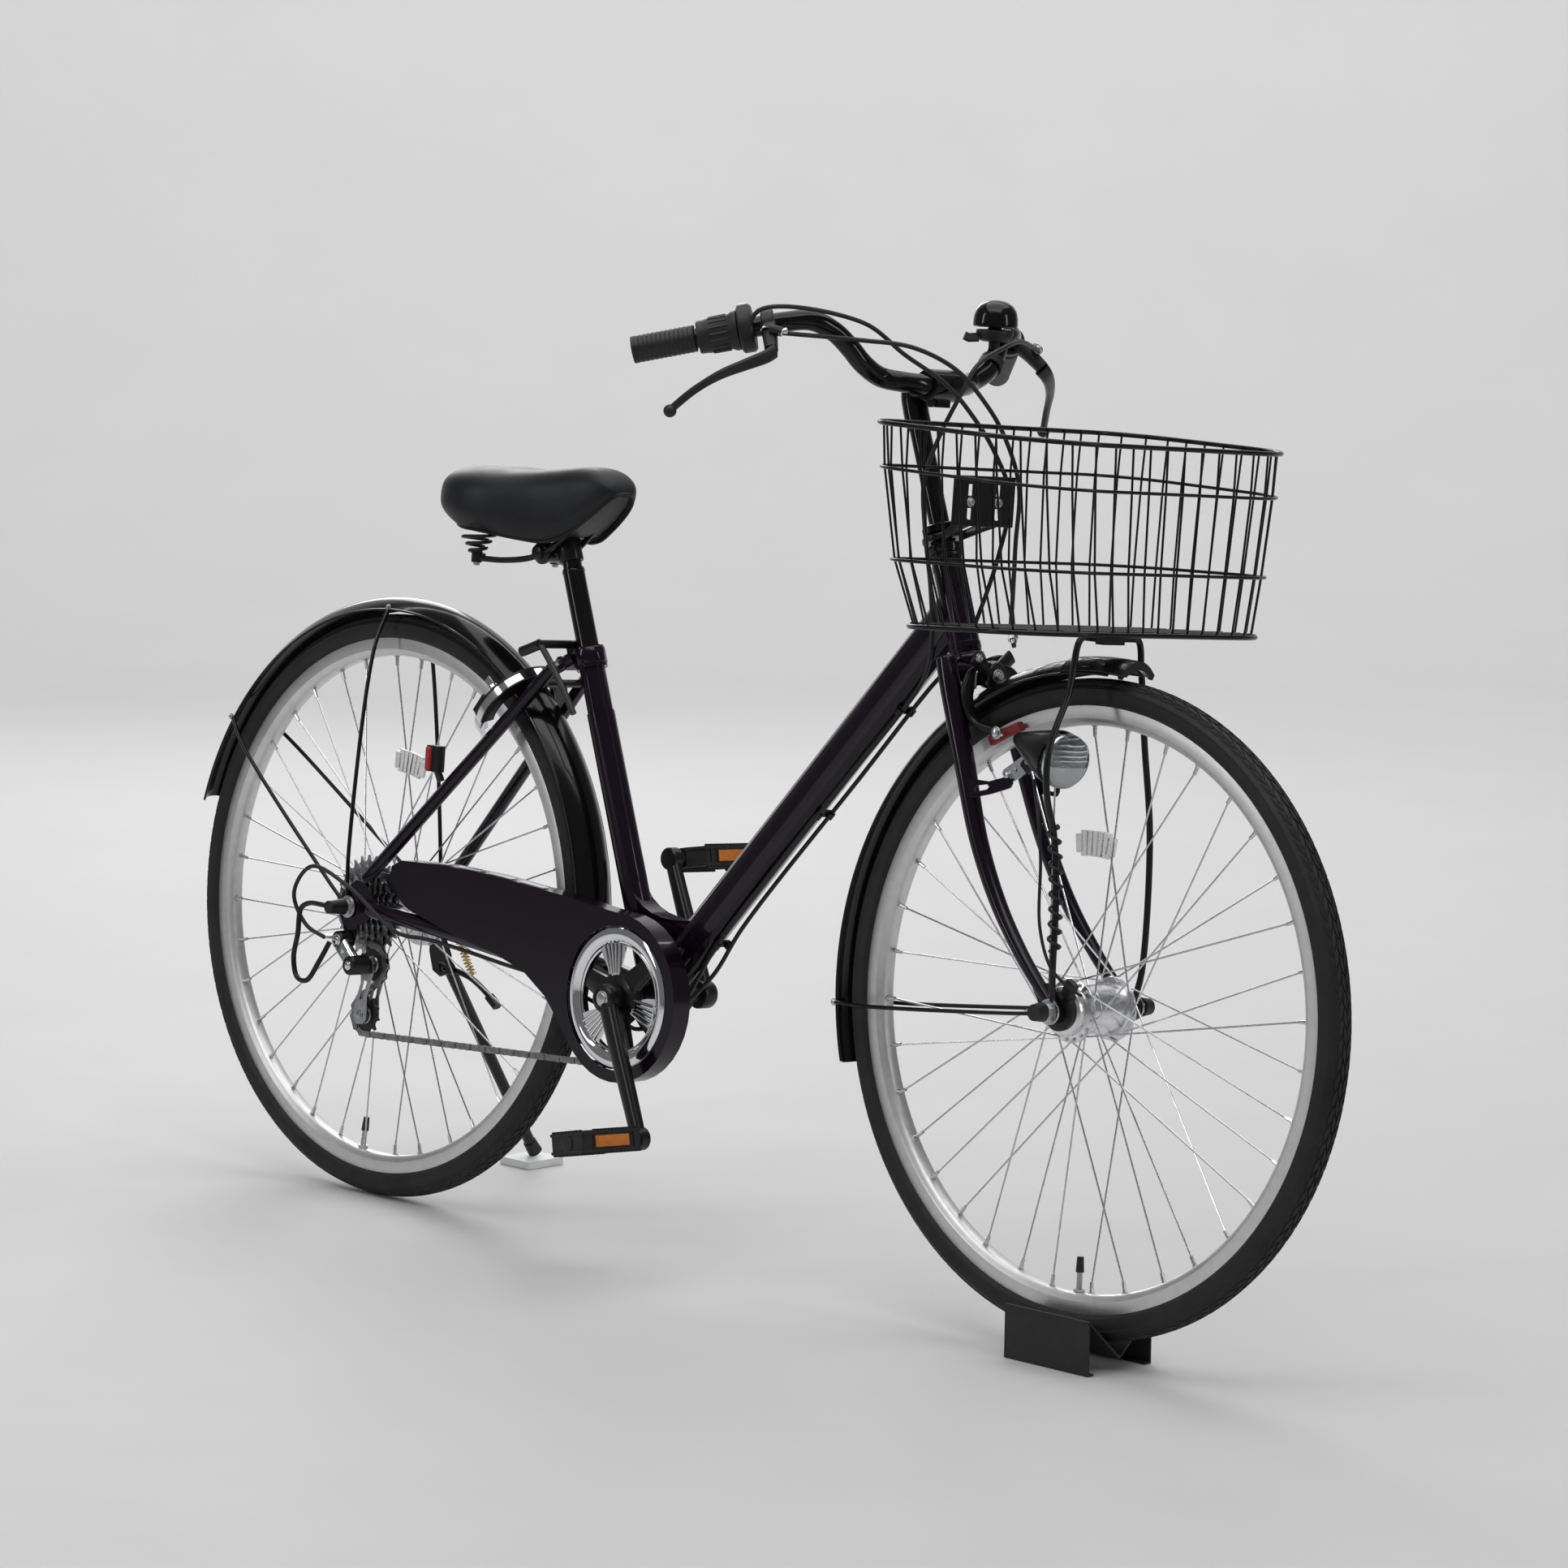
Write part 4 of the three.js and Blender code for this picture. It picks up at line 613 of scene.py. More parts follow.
def gear(centre, teeth, tall, turn=0.0):
    """A toothed outline: valleys below the pitch circle, and tips that stand tall above it."""
    r = pitch_radius(teeth)
    step = 360 / teeth
    out = []
    for i in range(teeth):
        a = turn + step * i
        for da, dr in ((-0.42, -2.6), (-0.24, -3.6), (0, -3.9), (0.24, -3.6), (0.42, -2.6)):
            out.append(tuple((centre[0] + (r + dr) * cos(rad(a + da * step * 0.62)),
                              centre[1] + (r + dr) * sin(rad(a + da * step * 0.62)))))
        for da in (0.44, 0.56):
            out.append((centre[0] + (r + tall) * cos(rad(a + da * step)),
                        centre[1] + (r + tall) * sin(rad(a + da * step))))
    return out


# ---------- mudguards ----------
def guard(b, hub, a0, a1, lift=0.0, thick=1.3, n=96, bead=True):
    """A curved sheet around a wheel: a crowned section with skirts, swept from a0 to a1 degrees."""
    half = [(361.4 + lift - 14.4 * (i / 8) ** 2.1, 25.6 * i / 8) for i in range(9)]
    outer = [(r, -y) for r, y in reversed(half[1:])] + half
    ring = outer + [(r - thick, y * 0.965) for r, y in reversed(outer)]
    k = len(ring)
    verts = [polar(hub, r, a0 + (a1 - a0) * i / n, y) for i in range(n + 1) for r, y in ring]
    faces = [(i * k + j, i * k + (j + 1) % k, (i + 1) * k + (j + 1) % k, (i + 1) * k + j) for i in range(n)
             for j in range(k)]
    for base in (0, n * k):
        faces += [(base + j, base + j + 1, base + k - 2 - j, base + k - 1 - j)
                  for j in range(len(outer) - 1)]
    b.add(verts, faces)
    if bead:
        for y in (-25.4, 25.4):
            b.tube([polar(hub, 346.4 + lift, a0 + (a1 - a0) * i / n, y) for i in range(n + 1)], 1.35, 8)
    return b


def stay(b, hub, deg, far, near, foot_y, r=2.4):
    """A mudguard's pair of stays, from the guard's edge down to the axle."""
    for y in (-1, 1):
        b.tube(path([polar(hub, 346, deg, 26.8 * y), polar(hub, 300, deg + 0.5, far * y),
                     polar(hub, 60, deg + 3, near * y), polar(hub, 13, deg + 8, foot_y * y)], 30), r, 10, 1)
        b.bolt(polar(hub, 349, deg, 26.4 * y), LAT * y, 3, 2.4, 2)


def mudguards():
    b = guard(Build(), REAR, 1.0, 165)
    stay(b, REAR, 146, 40, 66, 70.4)
    stay(b, REAR, 92, 44, 70.6, 71)
    for y in (-1, 1):
        b.wheel(REAR, band(5.4, 13, 69.2 * y, 70.6 * y), 32, 1)
    b.done("rear_mudguard_shell", "frame_body", [GLOSS, WIRE, ZINC], "rear_mudguard", row="gloss_black",
           sharp=30)
    b = guard(Build(), FRONT, 88, 196.5)
    guard(b, FRONT, 85.6, 99, 2.4, 2.2, 16, False)
    nose = [(361.4 + 2.2 - 14.4 * abs(t) ** 2.1, 25.4 * t) for t in [i / 8 for i in range(-8, 9)]]
    low = [(r - (9 if abs(y) < 20 else 5), y * 0.9) for r, y in reversed(nose)]
    ring, k = nose + low, len(nose) * 2
    verts = [polar(FRONT, r, a, y) for a in (84.9, 85.9) for r, y in ring]
    faces = [(j, (j + 1) % k, k + (j + 1) % k, k + j) for j in range(k)]
    faces += [(base + j, base + j + 1, base + k - 2 - j, base + k - 1 - j) for base in (0, k)
              for j in range(len(nose) - 1)]
    b.add(verts, faces)
    stay(b, FRONT, 186, 36, 60, 64.4, 2.3)
    b.done("front_mudguard_shell", "fork_body", [GLOSS, WIRE, ZINC], "front_mudguard", row="gloss_black",
           sharp=30)


# ---------- fork, stem, handlebar ----------
def fork():
    b = Build()
    for s in (-1, 1):
        pts = [steer(292, 5, 37 * s), steer(312, 6, 40 * s), steer(400, 8, 45 * s), steer(490, 10, 50 * s),
               steer(560, 22, 53 * s), steer(620, 42, 55.5 * s), steer(674, 66, 56.4 * s)]
        b.tube(path(pts, 60), lambda t: 11.4 - 4.6 * max(0, t - 0.25) / 0.75, 24)
        b.spin(steer(291, 5, 37 * s), -STEER_DIR, [(11.4, 0), (10.6, 2.2), (7, 3.6), (0, 4)], 24)
        low, high = (-58.6, -54.6) if s < 0 else (54.6, 58.6)
        tip = steer(655, 57)
        out = arc(FRONT, 13, -150, 20, 12) + [(tip.x + 11, tip.z + 4), (tip.x - 8, tip.z - 2)]
        b.plate([out, arc(FRONT, 5.3, 0, -350, 18)], low, high)
        root = steer(432, 14)
        if s < 0:
            tab = [(-6, -9), (10, -10), (34, -4), (52, 2), (60, 5), (63, 10), (60, 15), (50, 15), (30, 9),
                   (10, 9), (-6, 9)]
            slot, low, high = [(12, -3.6), (28, 0.4), (31, 3.2), (28, 5.6), (12, 2.6),
                               (9, -0.6)], -55.6, -52.6
        else:
            tab = [(-4, -7), (30, -8), (33, -3), (33, 4), (30, 8), (-4, 9)]
            slot, low, high = [(16, -3), (26, -3), (28, 0), (26, 3), (16, 3), (14, 0)], 48, 51.4
        b.plate([tab, slot], low, high, place=tilted(root, FORWARD, UPWARD))
    b.tube([steer(306, 4, -40), steer(306, 4, -20), steer(306, 4, 20), steer(306, 4, 40)], (12.5, 11),
           side=V(-DOWN[1], 0, DOWN[0]), section=squared(24, 0.7))
    b.spin(steer(286), STEER_DIR, [(12, 0), (18.4, 0.6), (19.6, 3), (19.6, 7), (18, 10), (16, 14),
                                   (12, 15)], 40)
    b.spin(steer(142), STEER_DIR, [(12, 0), (18, 0), (19.6, 1.4), (19.6, 8), (18, 9.6), (12, 9.6)], 8)
    b.spin(steer(164), STEER_DIR, [(12.8, 0), (17.5, 0), (20.4, 2), (20.4, 6), (18.6, 8.5), (18.6, 10.6),
                                   (12.8, 10.6)], 40)
    b.done("fork_tubes", "fork_body", [PAINT, SATIN], "fork", row="paint", bevel=0.5)


def front_axle():
    b = Build()
    for s in (-1, 1):
        b.bolt(at(FRONT, 66.4 * s), LAT * s, 8.6, 8, 1)
        b.rod(at(FRONT, 74 * s), at(FRONT, 78 * s), 5, 16, 0)
        b.rod(at(FRONT, 75 * s), at(FRONT, 88 * s), 10.2, 24, 0, 8.6)
        b.spin(at(FRONT, 0), LAT, band(5.3, 13.5, 63.8 * s, 65.4 * s), 32, 1)
    b.rod(at(FRONT, -66), at(FRONT, 66), 4.9, 16, 1)
    b.done("front_axle_nuts", "fork_body", [RESIN, ZINC], "front_axle")


def stem():
    b = Build()
    c = V(830, 0, 992)
    b.rod(steer(14), steer(262), 11.05, 32)
    b.tube(path([steer(34), steer(12), steer(-6, 4), V(805, 0, 988), V(820, 0, 991.4)], 24),
           lambda t: (13.6 + 1.6 * t, 13.2 + 1.2 * t), 24)
    b.spin(c - LAT * 21, LAT, [(12, 0), (16, 0.2), (17.2, 1.6), (17.2, 40.4), (16, 41.8), (12, 42)], 40)
    b.box(c + V(1, 0, -17), (7, 10, 6))
    b.spin(c + V(1, -13, -18), LAT, band(0, 5.4, 0, 3), 20, 1)
    b.spin(steer(-9, 2), -STEER_DIR, [(0, 0), (7.2, 0), (7.2, 3.4), (5.8, 4.4), (3.4, 4.4), (3.4, 2),
                                      (0, 2)], 24, 1)
    b.done("stem_gooseneck", "stem_body", [GLOSS, SATIN], "stem", bevel=0.6)


BAR_HALF = [(830, 0, 992), (830, 24, 992), (821, 48, 993.5), (809, 68, 997), (807, 94, 1010),
            (802, 110, 1026), (794, 126, 1041), (784, 150, 1051), (766, 172, 1048), (728, 206, 1035),
            (652, 273.5, 1009)]
GRIP_END = V(650, 275.3, 1008.4)
GRIP_AXIS = (V(766, 172, 1048) - V(652, 273.5, 1009)).normalized()


def on_grip(d, s):
    p = GRIP_END + GRIP_AXIS * d
    return V(p.x, p.y * s, p.z)


def grip_axis(s):
    return V(GRIP_AXIS.x, GRIP_AXIS.y * s, GRIP_AXIS.z)


def lever_point(d, fore, down, s):
    """A point d along the grip from its end, and fore ahead of it and down below it."""
    a = grip_axis(s)
    lower = (V(0, 0, -1) + a * a.z).normalized()
    ahead = a.cross(lower).normalized() * s
    return on_grip(d, s) + ahead * fore + lower * down


def ribbed(radius, length, ribs, deep, ends=1.2):
    """The section of a grip with grooves around it."""
    prof = [(11.6, 0), (radius - ends, 0), (radius, ends)]
    step = (length - 2 * ends) / ribs
    for i in range(ribs):
        x = ends + step * i
        prof += [(radius, x + step * 0.3), (radius - deep, x + step * 0.45),
                 (radius - deep, x + step * 0.75), (radius, x + step * 0.9)]
    return prof + [(radius, length - ends), (radius - ends, length), (11.6, length)]


def handlebar():
    left = [Vector(p) for p in BAR_HALF]
    right = [V(p[0], -p[1], p[2]) for p in reversed(BAR_HALF[1:])]
    Build().tube(path(right + left, 150), 11.0, 28).done("handlebar_tube", "handlebar_body", GLOSS,
                                                         "handlebar")
    for s, side, length in ((-1, "right", 66), (1, "left", 124)):
        b = Build()
        a = grip_axis(s)
        b.spin(on_grip(1.4, s), a, ribbed(14.4, length - 1.4, length // 5, 0.35), 40)
        b.spin(on_grip(1.2, s), -a, [(14.0, -1.0), (14.6, 0.4), (14.2, 2.6), (11, 3.2), (0, 3.3)], 40)
        b.done("grip_%s_ribbed" % side, "handlebar_body", RESIN, "grip_" + side, row="resin")
    a = grip_axis(-1)
    b = Build()
    prof = [(12, 0), (16.6, 0), (17.4, 1.2), (17.6, 8), (18.4, 12), (18.6, 34), (20.8, 38), (21, 42.6),
            (12, 42.6)]
    b.spin(on_grip(68.6, -1), a, prof, 48)
    for i in range(16):
        t = 2 * math.pi * i / 16
        u = a.cross(UPWARD).normalized()
        w = a.cross(u)
        e = u * cos(t) + w * sin(t)
        b.rod(on_grip(82, -1) + e * 18.0, on_grip(101, -1) + e * 18.2, 1.5, 8)
    b.done("twist_grip", "shifter", RESIN, "shift_grip", row="resin", sharp=30)
    b = Build()
    prof = [(12, 0), (23, 0), (25.2, 1.8), (25.4, 12.5), (23.2, 15.2), (12, 15.4)]
    b.spin(on_grip(112.6, -1), a, prof, 56)
    u = lever_point(119.5, 5.5, -25.0, -1)
    b.box(u, (5.6, 1.3, 1.2), 1, x=a, y=a.cross(u - on_grip(119.5, -1)))
    b.done("shifter_ring", "handlebar_body", [RESIN, WHITE], "shifter_housing", row="resin", sharp=30)


def levers():
    for s, side in ((-1, "right"), (1, "left")):
        a = grip_axis(s)
        b = Build()
        b.spin(on_grip(137, s), a, [(12, 0), (15, 0), (16, 1), (16, 12), (15, 13), (12, 13)], 36)
        b.tube([lever_point(*p, s) for p in ((143.5, 8, 2), (144, 22, 13), (144, 37, 27))],
               lambda t: (9 - 2.2 * t, 8.5 - 1.5 * t), side=a, section=squared(20, 0.6))
        b.tube([lever_point(*p, s) for p in ((146, 27, 6), (152, 29, 8), (158, 30.5, 11))], (5.2, 5.2), 16)
        b.spin(lever_point(154, 30.4, 10.6, s), a,
               [(0, 0), (4.4, 0), (4.4, 4), (3.4, 4.6), (3.4, 9), (2.6, 10), (0, 10)], 20, 1)
        head = lever_point(140, 24, 5, s)
        b.bolt(head, head - lever_point(140, 34, 24, s), 3.4, 2.2, 1)
        b.done("lever_bracket_%s_cast" % side, "handlebar_body", [RESIN, ZINC], "lever_bracket_" + side,
               bevel=0.5)
        c = Build()
        pts = [lever_point(*p, s) for p in ((147, 36, 29), (138, 42, 33), (118, 48, 37), (88, 52, 43),
                                            (58, 52, 54), (34, 52, 67))]
        c.tube(path(pts, 40), lambda t: (4.4 - 1.4 * t, 8.6 - 4.2 * min(1, t * 1.5)),
               side=lever_point(90, 1, 0.8, s) - on_grip(90, s), section=squared(18, 0.8))
        ball = lever_point(30, 52, 70, s)
        c.spin(ball - a * 7, a, [(0, 0), (3.6, 0.9), (6, 3.2), (7, 7), (6, 10.8), (3.6, 13.1), (0, 14)], 24)
        c.done("brake_lever_%s_blade" % side, "lever_" + side, RESIN if s < 0 else SATIN,
               "brake_lever_" + side)


def bell():
    base, up = V(804, 106, 1030), UPWARD
    b = Build()
    b.spin(base, up, band(0, 6, 4, 14), 24)
    b.spin(base, up, [(0, 12), (12, 12), (17, 13.6), (19.6, 17.6), (20.4, 23), (19.4, 25), (8, 25.6),
                      (7, 28), (0, 28)], 48)
    b.spin(base, up, [(0, 27.6), (22.4, 27.4), (24, 28.6), (24.2, 32), (23.8, 38), (22.2, 45), (18.4, 51),
                      (12, 55), (4, 56.8), (0, 57)], 56, 1)
    b.spin(V(804.6, 103, 1018.6), V(-5, 16, 16), band(11.5, 13.8, -5, 5), 32)
    b.tube([base + V(-6, -19, 16), base + V(-10, -30, 15), base + V(-12, -34, 17)], (2.2, 5),
           section=squared(14, 0.7))
    b.done("bell_dome", "handlebar_body", [RESIN, GLOSS], "bell", row="gloss_black", bevel=0.3)


# ---------- cables ----------
def under_tube(s, y, drop=29):
    """A point s up the down tube from the bottom bracket, and drop below its axis."""
    return at(BB, y) + ALONG_TUBE * s + V(ALONG_TUBE.z, 0, -ALONG_TUBE.x) * drop


CABLE_RADIUS = 2.45
LEAD_RADIUS = 1.7
LEAD_TURNS = 8.5


def cables():
    pts = [lever_point(158, 31, 12, -1), V(820, -112, 1034), V(860, -75, 1030), V(886, -35, 1010),
           V(899, -2, 978), V(902, 28, 944), V(902, 56, 892), V(903, 56, 830), V(910, 50, 772),
           V(920, 40, 742), V(931, 35, 724)]
    b = Build().tube(path(pts, 110), CABLE_RADIUS, 12)
    b.rod(V(922, 38, 742), V(930, 35.4, 727), 4.2, 16, 1, 3.2)
    b.rod(V(926, 37, 734), V(928, 36, 731), 5.8, 6, 1)
    b.done("front_brake_hose", "fork_body", [RESIN, ZINC], "front_brake_cable", row="resin")
    pts = [lever_point(120.5, 31, 4, -1), lever_point(141, 40, -16, -1), V(817, -106, 1052),
           V(846, -72, 1022), V(876, -38, 994), V(886, -2, 960), V(888, 30, 926), V(888, 58, 880),
           V(884, 52, 820), V(878, 36, 760), V(868, 22, 712), under_tube(540, 9), under_tube(400, 9),
           under_tube(150, 9), under_tube(80, 3, 41), under_tube(8, -12, 37), V(448, -21, 256),
           V(420, -25, 268), V(340, -30, 289), V(290, -31, 297), V(240, -40, 304), V(180, -47, 312),
           V(122, -55, 318), V(92, -72, 322), V(24, -92, 368), V(-30, -104, 386), V(-62, -102, 350),
           V(-44, -96, 316), V(-16, -90, 304)]
    ob = Build().tube(path(pts, 330), CABLE_RADIUS, 12).done("shift_hose", None, RESIN, "shift_cable",
                                                             row="resin")
    bend(ob)
    pts = [lever_point(158, 31, 12, 1), V(838, 110, 1044), V(860, 62, 1036), V(860, 24, 1016),
           V(856, 6, 984), V(846, -12, 938), V(842, -26, 892), V(852, -30, 840), V(866, -30, 780),
           V(868, -25, 730), V(857, -16, 698), under_tube(540, -9), under_tube(400, -9),
           under_tube(120, -9), under_tube(60, 2), under_tube(4, 14), V(448, 21, 261), V(420, 25, 270),
           V(340, 30, 289), V(290, 31, 297), V(240, 40, 304), V(180, 47, 308), V(130, 50, 308),
           V(98, 50, 308)]
    ob = Build().tube(path(pts, 280), CABLE_RADIUS, 12).done("rear_brake_hose", None, RESIN,
                                                             "rear_brake_cable", row="resin")
    bend(ob)


def cable_clips():
    b = Build()
    for s in (500, 335, 120):
        for y in (-9, 9):
            b.spin(under_tube(s, y) - ALONG_TUBE * 4, ALONG_TUBE, band(2.7, 4.0, 0, 8), 20)
        b.box(under_tube(s, 0, 26), (5, 9, 1.3), 0, x=ALONG_TUBE)
    b.done("cable_clips", "frame_body", SATIN, bevel=0.4)


def lamp_lead():
    pts = [V(1052, -50, 596), V(1066, -62, 584), V(1090, -82, 566), V(1100, -84, 520), V(1102, -80, 450),
           V(1120, -78, 410), V(1136, -66, 392), V(1140, -52, 384)]
    b = Build().tube(path(pts, 120), LEAD_RADIUS, 10)
    stay_leg = path(STAY_RIGHT, 90)
    coil = []
    for t in shares(170):
        z = 556 - 130 * t
        leg = min(stay_leg, key=lambda q: abs(q.z - z))
        w = 2 * math.pi * LEAD_TURNS * t
        coil.append(V(leg.x + 6.2 * cos(w), leg.y + 6.2 * sin(w), z))
    b.tube(coil, LEAD_RADIUS, 8)
    b.done("lamp_wire", "fork_body", RESIN, "lamp_lead", row="resin")


def bend(ob):
    """Carries a cable's placement into its mesh, leaving its object at the origin."""
    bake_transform(ob)


# ---------- basket ----------
BASKET_WIRES = 46


def rounded(z, x0, x1, half, rr, rf):
    """A basket ring from x0 to x1 and from height z[0] to z[1], with back corner radius rr and front rf."""
    corners = [((x1 - rf, half - rf), 0, rf), ((x0 + rr, half - rr), 90, rr),
               ((x0 + rr, rr - half), 180, rr), ((x1 - rf, rf - half), 270, rf)]
    pts = []
    for c, a, r in corners:
        pts += [V(x, y, z[0] + (z[1] - z[0]) * (x - x0) / (x1 - x0)) for x, y in arc(c, r, a, a + 90, 12)]
    pts.append(pts[0])
    return even(pts, 4 * BASKET_WIRES)[:-1]


def reach(ring, axis, value):
    """Where a closed ring crosses a line across it: the two crossing points."""
    hits = []
    for a, b in zip(ring, ring[1:] + ring[:1]):
        if (a[axis] - value) * (b[axis] - value) < 0:
            hits.append(a.lerp(b, (value - a[axis]) / (b[axis] - a[axis])))
    return sorted(hits, key=lambda p: p[1 - axis])


BASKET_RINGS = [((953, 945), 914.5, 1185, 208, 62, 100, 2.9), ((908, 899), 916, 1184, 204, 64, 96, 2.0),
                ((813, 817), 926, 1181, 195, 72, 90, 2.0), ((745.5, 755), 945, 1178, 186, 78, 84, 3.1)]


def basket():
    b = Build()
    rings = [rounded(*spec[:-1]) for spec in BASKET_RINGS]
    for ring, spec in zip(rings, BASKET_RINGS):
        b.tube(ring, spec[-1] * 0.88, 10, closed=True, side=UPWARD)
    for i in range(BASKET_WIRES):
        top, second, third, base = (ring[4 * i] for ring in rings)
        outward = (V(top.x, top.y, 0) - V(1050, 0, 0)).normalized()
        b.tube([top + V(0, 0, 1.5) - outward * 3.9, second - outward * 3.3, third - outward * 3.3,
                base - outward * 3.4 + V(0, 0, 5), base - outward * 5 + V(0, 0, 1.6),
                base - outward * 14 + V(0, 0, 0.6)], 1.2, 8)
    for k in range(-7, 8):
        p, q = reach(rings[3], 1, 24.5 * k + 0.01)
        b.tube([p, p.lerp(q, 0.5), q], 1.35, 8)
    for k in range(-4, 5):
        p, q = reach(rings[3], 0, 1061 + 26.01 * k)
        b.tube([p + V(0, 0, 2.4), q + V(0, 0, 2.4)], 1.35, 8)
    b.done("basket_wires", "fork_body", WIRE, "basket")


def basket_plate():
    b = Build()
    slots = [[(y - 3.6, z), (y - 3.6, z + 12), (y + 3.6, z + 12), (y + 3.6, z)] for y in (-22, 20)
             for z in (855, 880)]
    b.plate([band(-47, 45, 848, 901)] + slots, 905.2, 907.6, place=lambda u, v, w: V(w, u, v))
    for y in (-22, 20):
        b.bolt(V(907.6, y, 873.5), FORWARD, 4, 3, 1)
        b.tube([steer(158, 14, 12 * y / 21), V(888, y * 0.9, 846), V(905, y, 852)], (1.6, 5),
               section=squared(16, 0.6))
    b.spin(steer(154), STEER_DIR, [(13.6, 0), (21.6, 0), (22, 0.6), (22, 5), (21.6, 5.6), (13.6, 5.6)], 40)
    b.done("basket_back_plate", "fork_body", [SATIN, ZINC], "basket_bracket", bevel=0.5)


STAY_RIGHT = [V(1111, -62.7, 374), V(1113, -68, 402), V(1112, -70, 480), V(1107, -74, 545),
              V(1104, -86, 588), V(1103, -86, 632), V(1099, -58, 690), V(1097, -52, 712)]
STAY_LEFT = [V(1097, 52, 712), V(1101, 60, 640), V(1110, 69, 540), V(1113, 68, 402), V(1111, 62.7, 374)]


def basket_stay():
    b = Build()
    z = 745.5
    b.tube(path(STAY_RIGHT + [V(1097, -43, z), V(1097, 0, z), V(1097, 43, z)] + STAY_LEFT, 200), 3.5, 14)
    for low, high in ((-63.2, -59.6), (59.6, 63.2)):
        b.plate([arc(FRONT, 12, 0, 350, 28), arc(FRONT, 5.4, 0, -345, 20)], low, high)
    b.box((1098, 0, 747.5), (9, 31, 4.4))
    b.box((1098, 0, 742.4), (6, 16, 2.6))
    b.done("basket_stay_rod", "fork_body", [SATIN, ZINC], "basket_stay", bevel=0.4)


# ---------- front brake and lamp ----------
def calipers():
    shoe = polar(FRONT, 303, 115.5)
    for s, side, dx in ((-1, "right", 0), (1, "left", 9.5)):
        px, pz = 930 + dx, 694
        b = Build()
        pts = [V(px, -3 * s, pz + 1), V(px, 22 * s, pz - 2), V(px + 3, 34 * s, pz - 18),
               V(px + 16, 33 * s, shoe.z + 10), V(shoe.x - 2, 27 * s, shoe.z + 1)]
        b.tube(path(pts, 36), lambda t: (3.6, 12.5 - 6.6 * t), side=FORWARD, section=squared(18, 0.75))
        b.spin(V(px - 4, 0, pz), FORWARD, [(3, 0), (13, 0), (14.4, 1.4), (14.4, 6.6), (13, 8), (3, 8)], 36)
        b.tube([V(px, -2 * s, pz + 2), V(px, -18 * s, pz + 8), V(px, -33 * s, pz + 20)], (3.2, 8.2),
               side=FORWARD, section=squared(16, 0.8))
        b.rod(V(shoe.x - 2, 22 * s, shoe.z), V(shoe.x - 2, 35 * s, shoe.z), 4.2, 16, 1)
        b.bolt(V(shoe.x - 2, 31.4 * s, shoe.z), LAT * s, 5.2, 3.4, 1)
        b.tube([polar(FRONT, 303, 119.6, 18.9 * s), polar(FRONT, 303, 116, 18.9 * s),
                polar(FRONT, 303, 111, 18.9 * s)], (4.6, 5.2), m=2, section=squared(16, 0.5))
        if s < 0:
            b.bolt(V(px - 12.4, 0, pz), FORWARD, 5.5, 3, 1)
        else:
            b.bolt(V(px + 4, 0, pz), FORWARD, 5.6, 4, 1)
        b.bolt(V(px + 4.4 * s, -31 * s, pz + 19), V(s, 0, 0), 3.6, 2.4, 1)
        b.done("caliper_arm_%s_cast" % side, "caliper_" + side, [SATIN, ZINC, RED_SHOE],
               "caliper_arm_" + side, bevel=0.4)


def caliper_spring():
    b = Build()
    b.rod(V(912, 0, 695), V(925, 0, 694.4), 3, 12)
    spring = [V(934.8, -24, 680), V(934.8, -22, 698), V(934.8, 0, 708), V(934.8, 22, 698),
              V(934.8, 24, 680)]
    b.tube(path(spring, 30), 1.3, 8)
    b.done("caliper_spring", "fork_body", ZINC)


LAMP_BACK, LAMP_FRONT, LAMP_HINGE = V(1026, -50, 636), V(1106, -50, 616), V(1016, -50, 597)
LAMP_AXIS = (LAMP_FRONT - LAMP_BACK).normalized()


def lamp():
    d = LAMP_AXIS
    b = Build()
    b.spin(LAMP_BACK - d * 6, d, [(0, 0), (3, 0.8), (7, 5), (13, 19), (19, 33), (24.4, 47), (28.2, 57),
                                  (29.2, 64), (27.6, 64), (22, 48), (8, 34), (0, 32)], 64)
    for i in range(5):
        rib = LAMP_BACK + d * (10 + 4 * i) + V(0, -(9 + 1.6 * i), 3 * (0.25 * i - 1))
        b.tube([rib, rib + d * 6 + V(0, -2.6, 0)], 0.9, 8)
    b.tube([LAMP_BACK + d * 22 + V(-2, 0, -16), LAMP_BACK + d * 16 + V(-4, 0, -26)], (3, 8),
           section=squared(16, 0.6))
    a = LAMP_HINGE
    u = V(30, 0, 19).normalized()
    w = LAT.cross(u)
    tongue = [(-6, -6), (-3, -8.4), (38, -9), (42, -5), (42, 5), (38, 9), (-3, 8.4), (-6, 6)]
    holes = [[(q + 2.6 * cos(-t * 0.5236), 2.6 * sin(-t * 0.5236)) for t in range(12)] for q in (12, 23)]
    b.plate([tongue] + holes, -1.7, 1.7, 1, place=tilted(a, u, w))
    b.bolt(a + u * 33 + LAT * -1.8, -LAT, 3.6, 2.6, 1)
    b.bolt(a + LAT * -1.8, -LAT, 4.2, 2.6, 1)
    b.done("headlight_shell", "headlight", [SATIN, ZINC], "headlight_housing", bevel=0.3)


def lamp_lens():
    b = Build()
    b.spin(LAMP_BACK, LAMP_AXIS, [(27.8, 58.4), (29, 59), (28.8, 70), (27, 77), (23, 81), (12, 82.4),
                                  (0, 82.6), (0, 81.2), (12, 80.8), (22, 79.4), (25.6, 76), (27.2, 70),
                                  (27.4, 58.4)], 64, closed=False)
    b.done("headlight_cover", "headlight", CLEAR, "headlight_lens", row="lens")


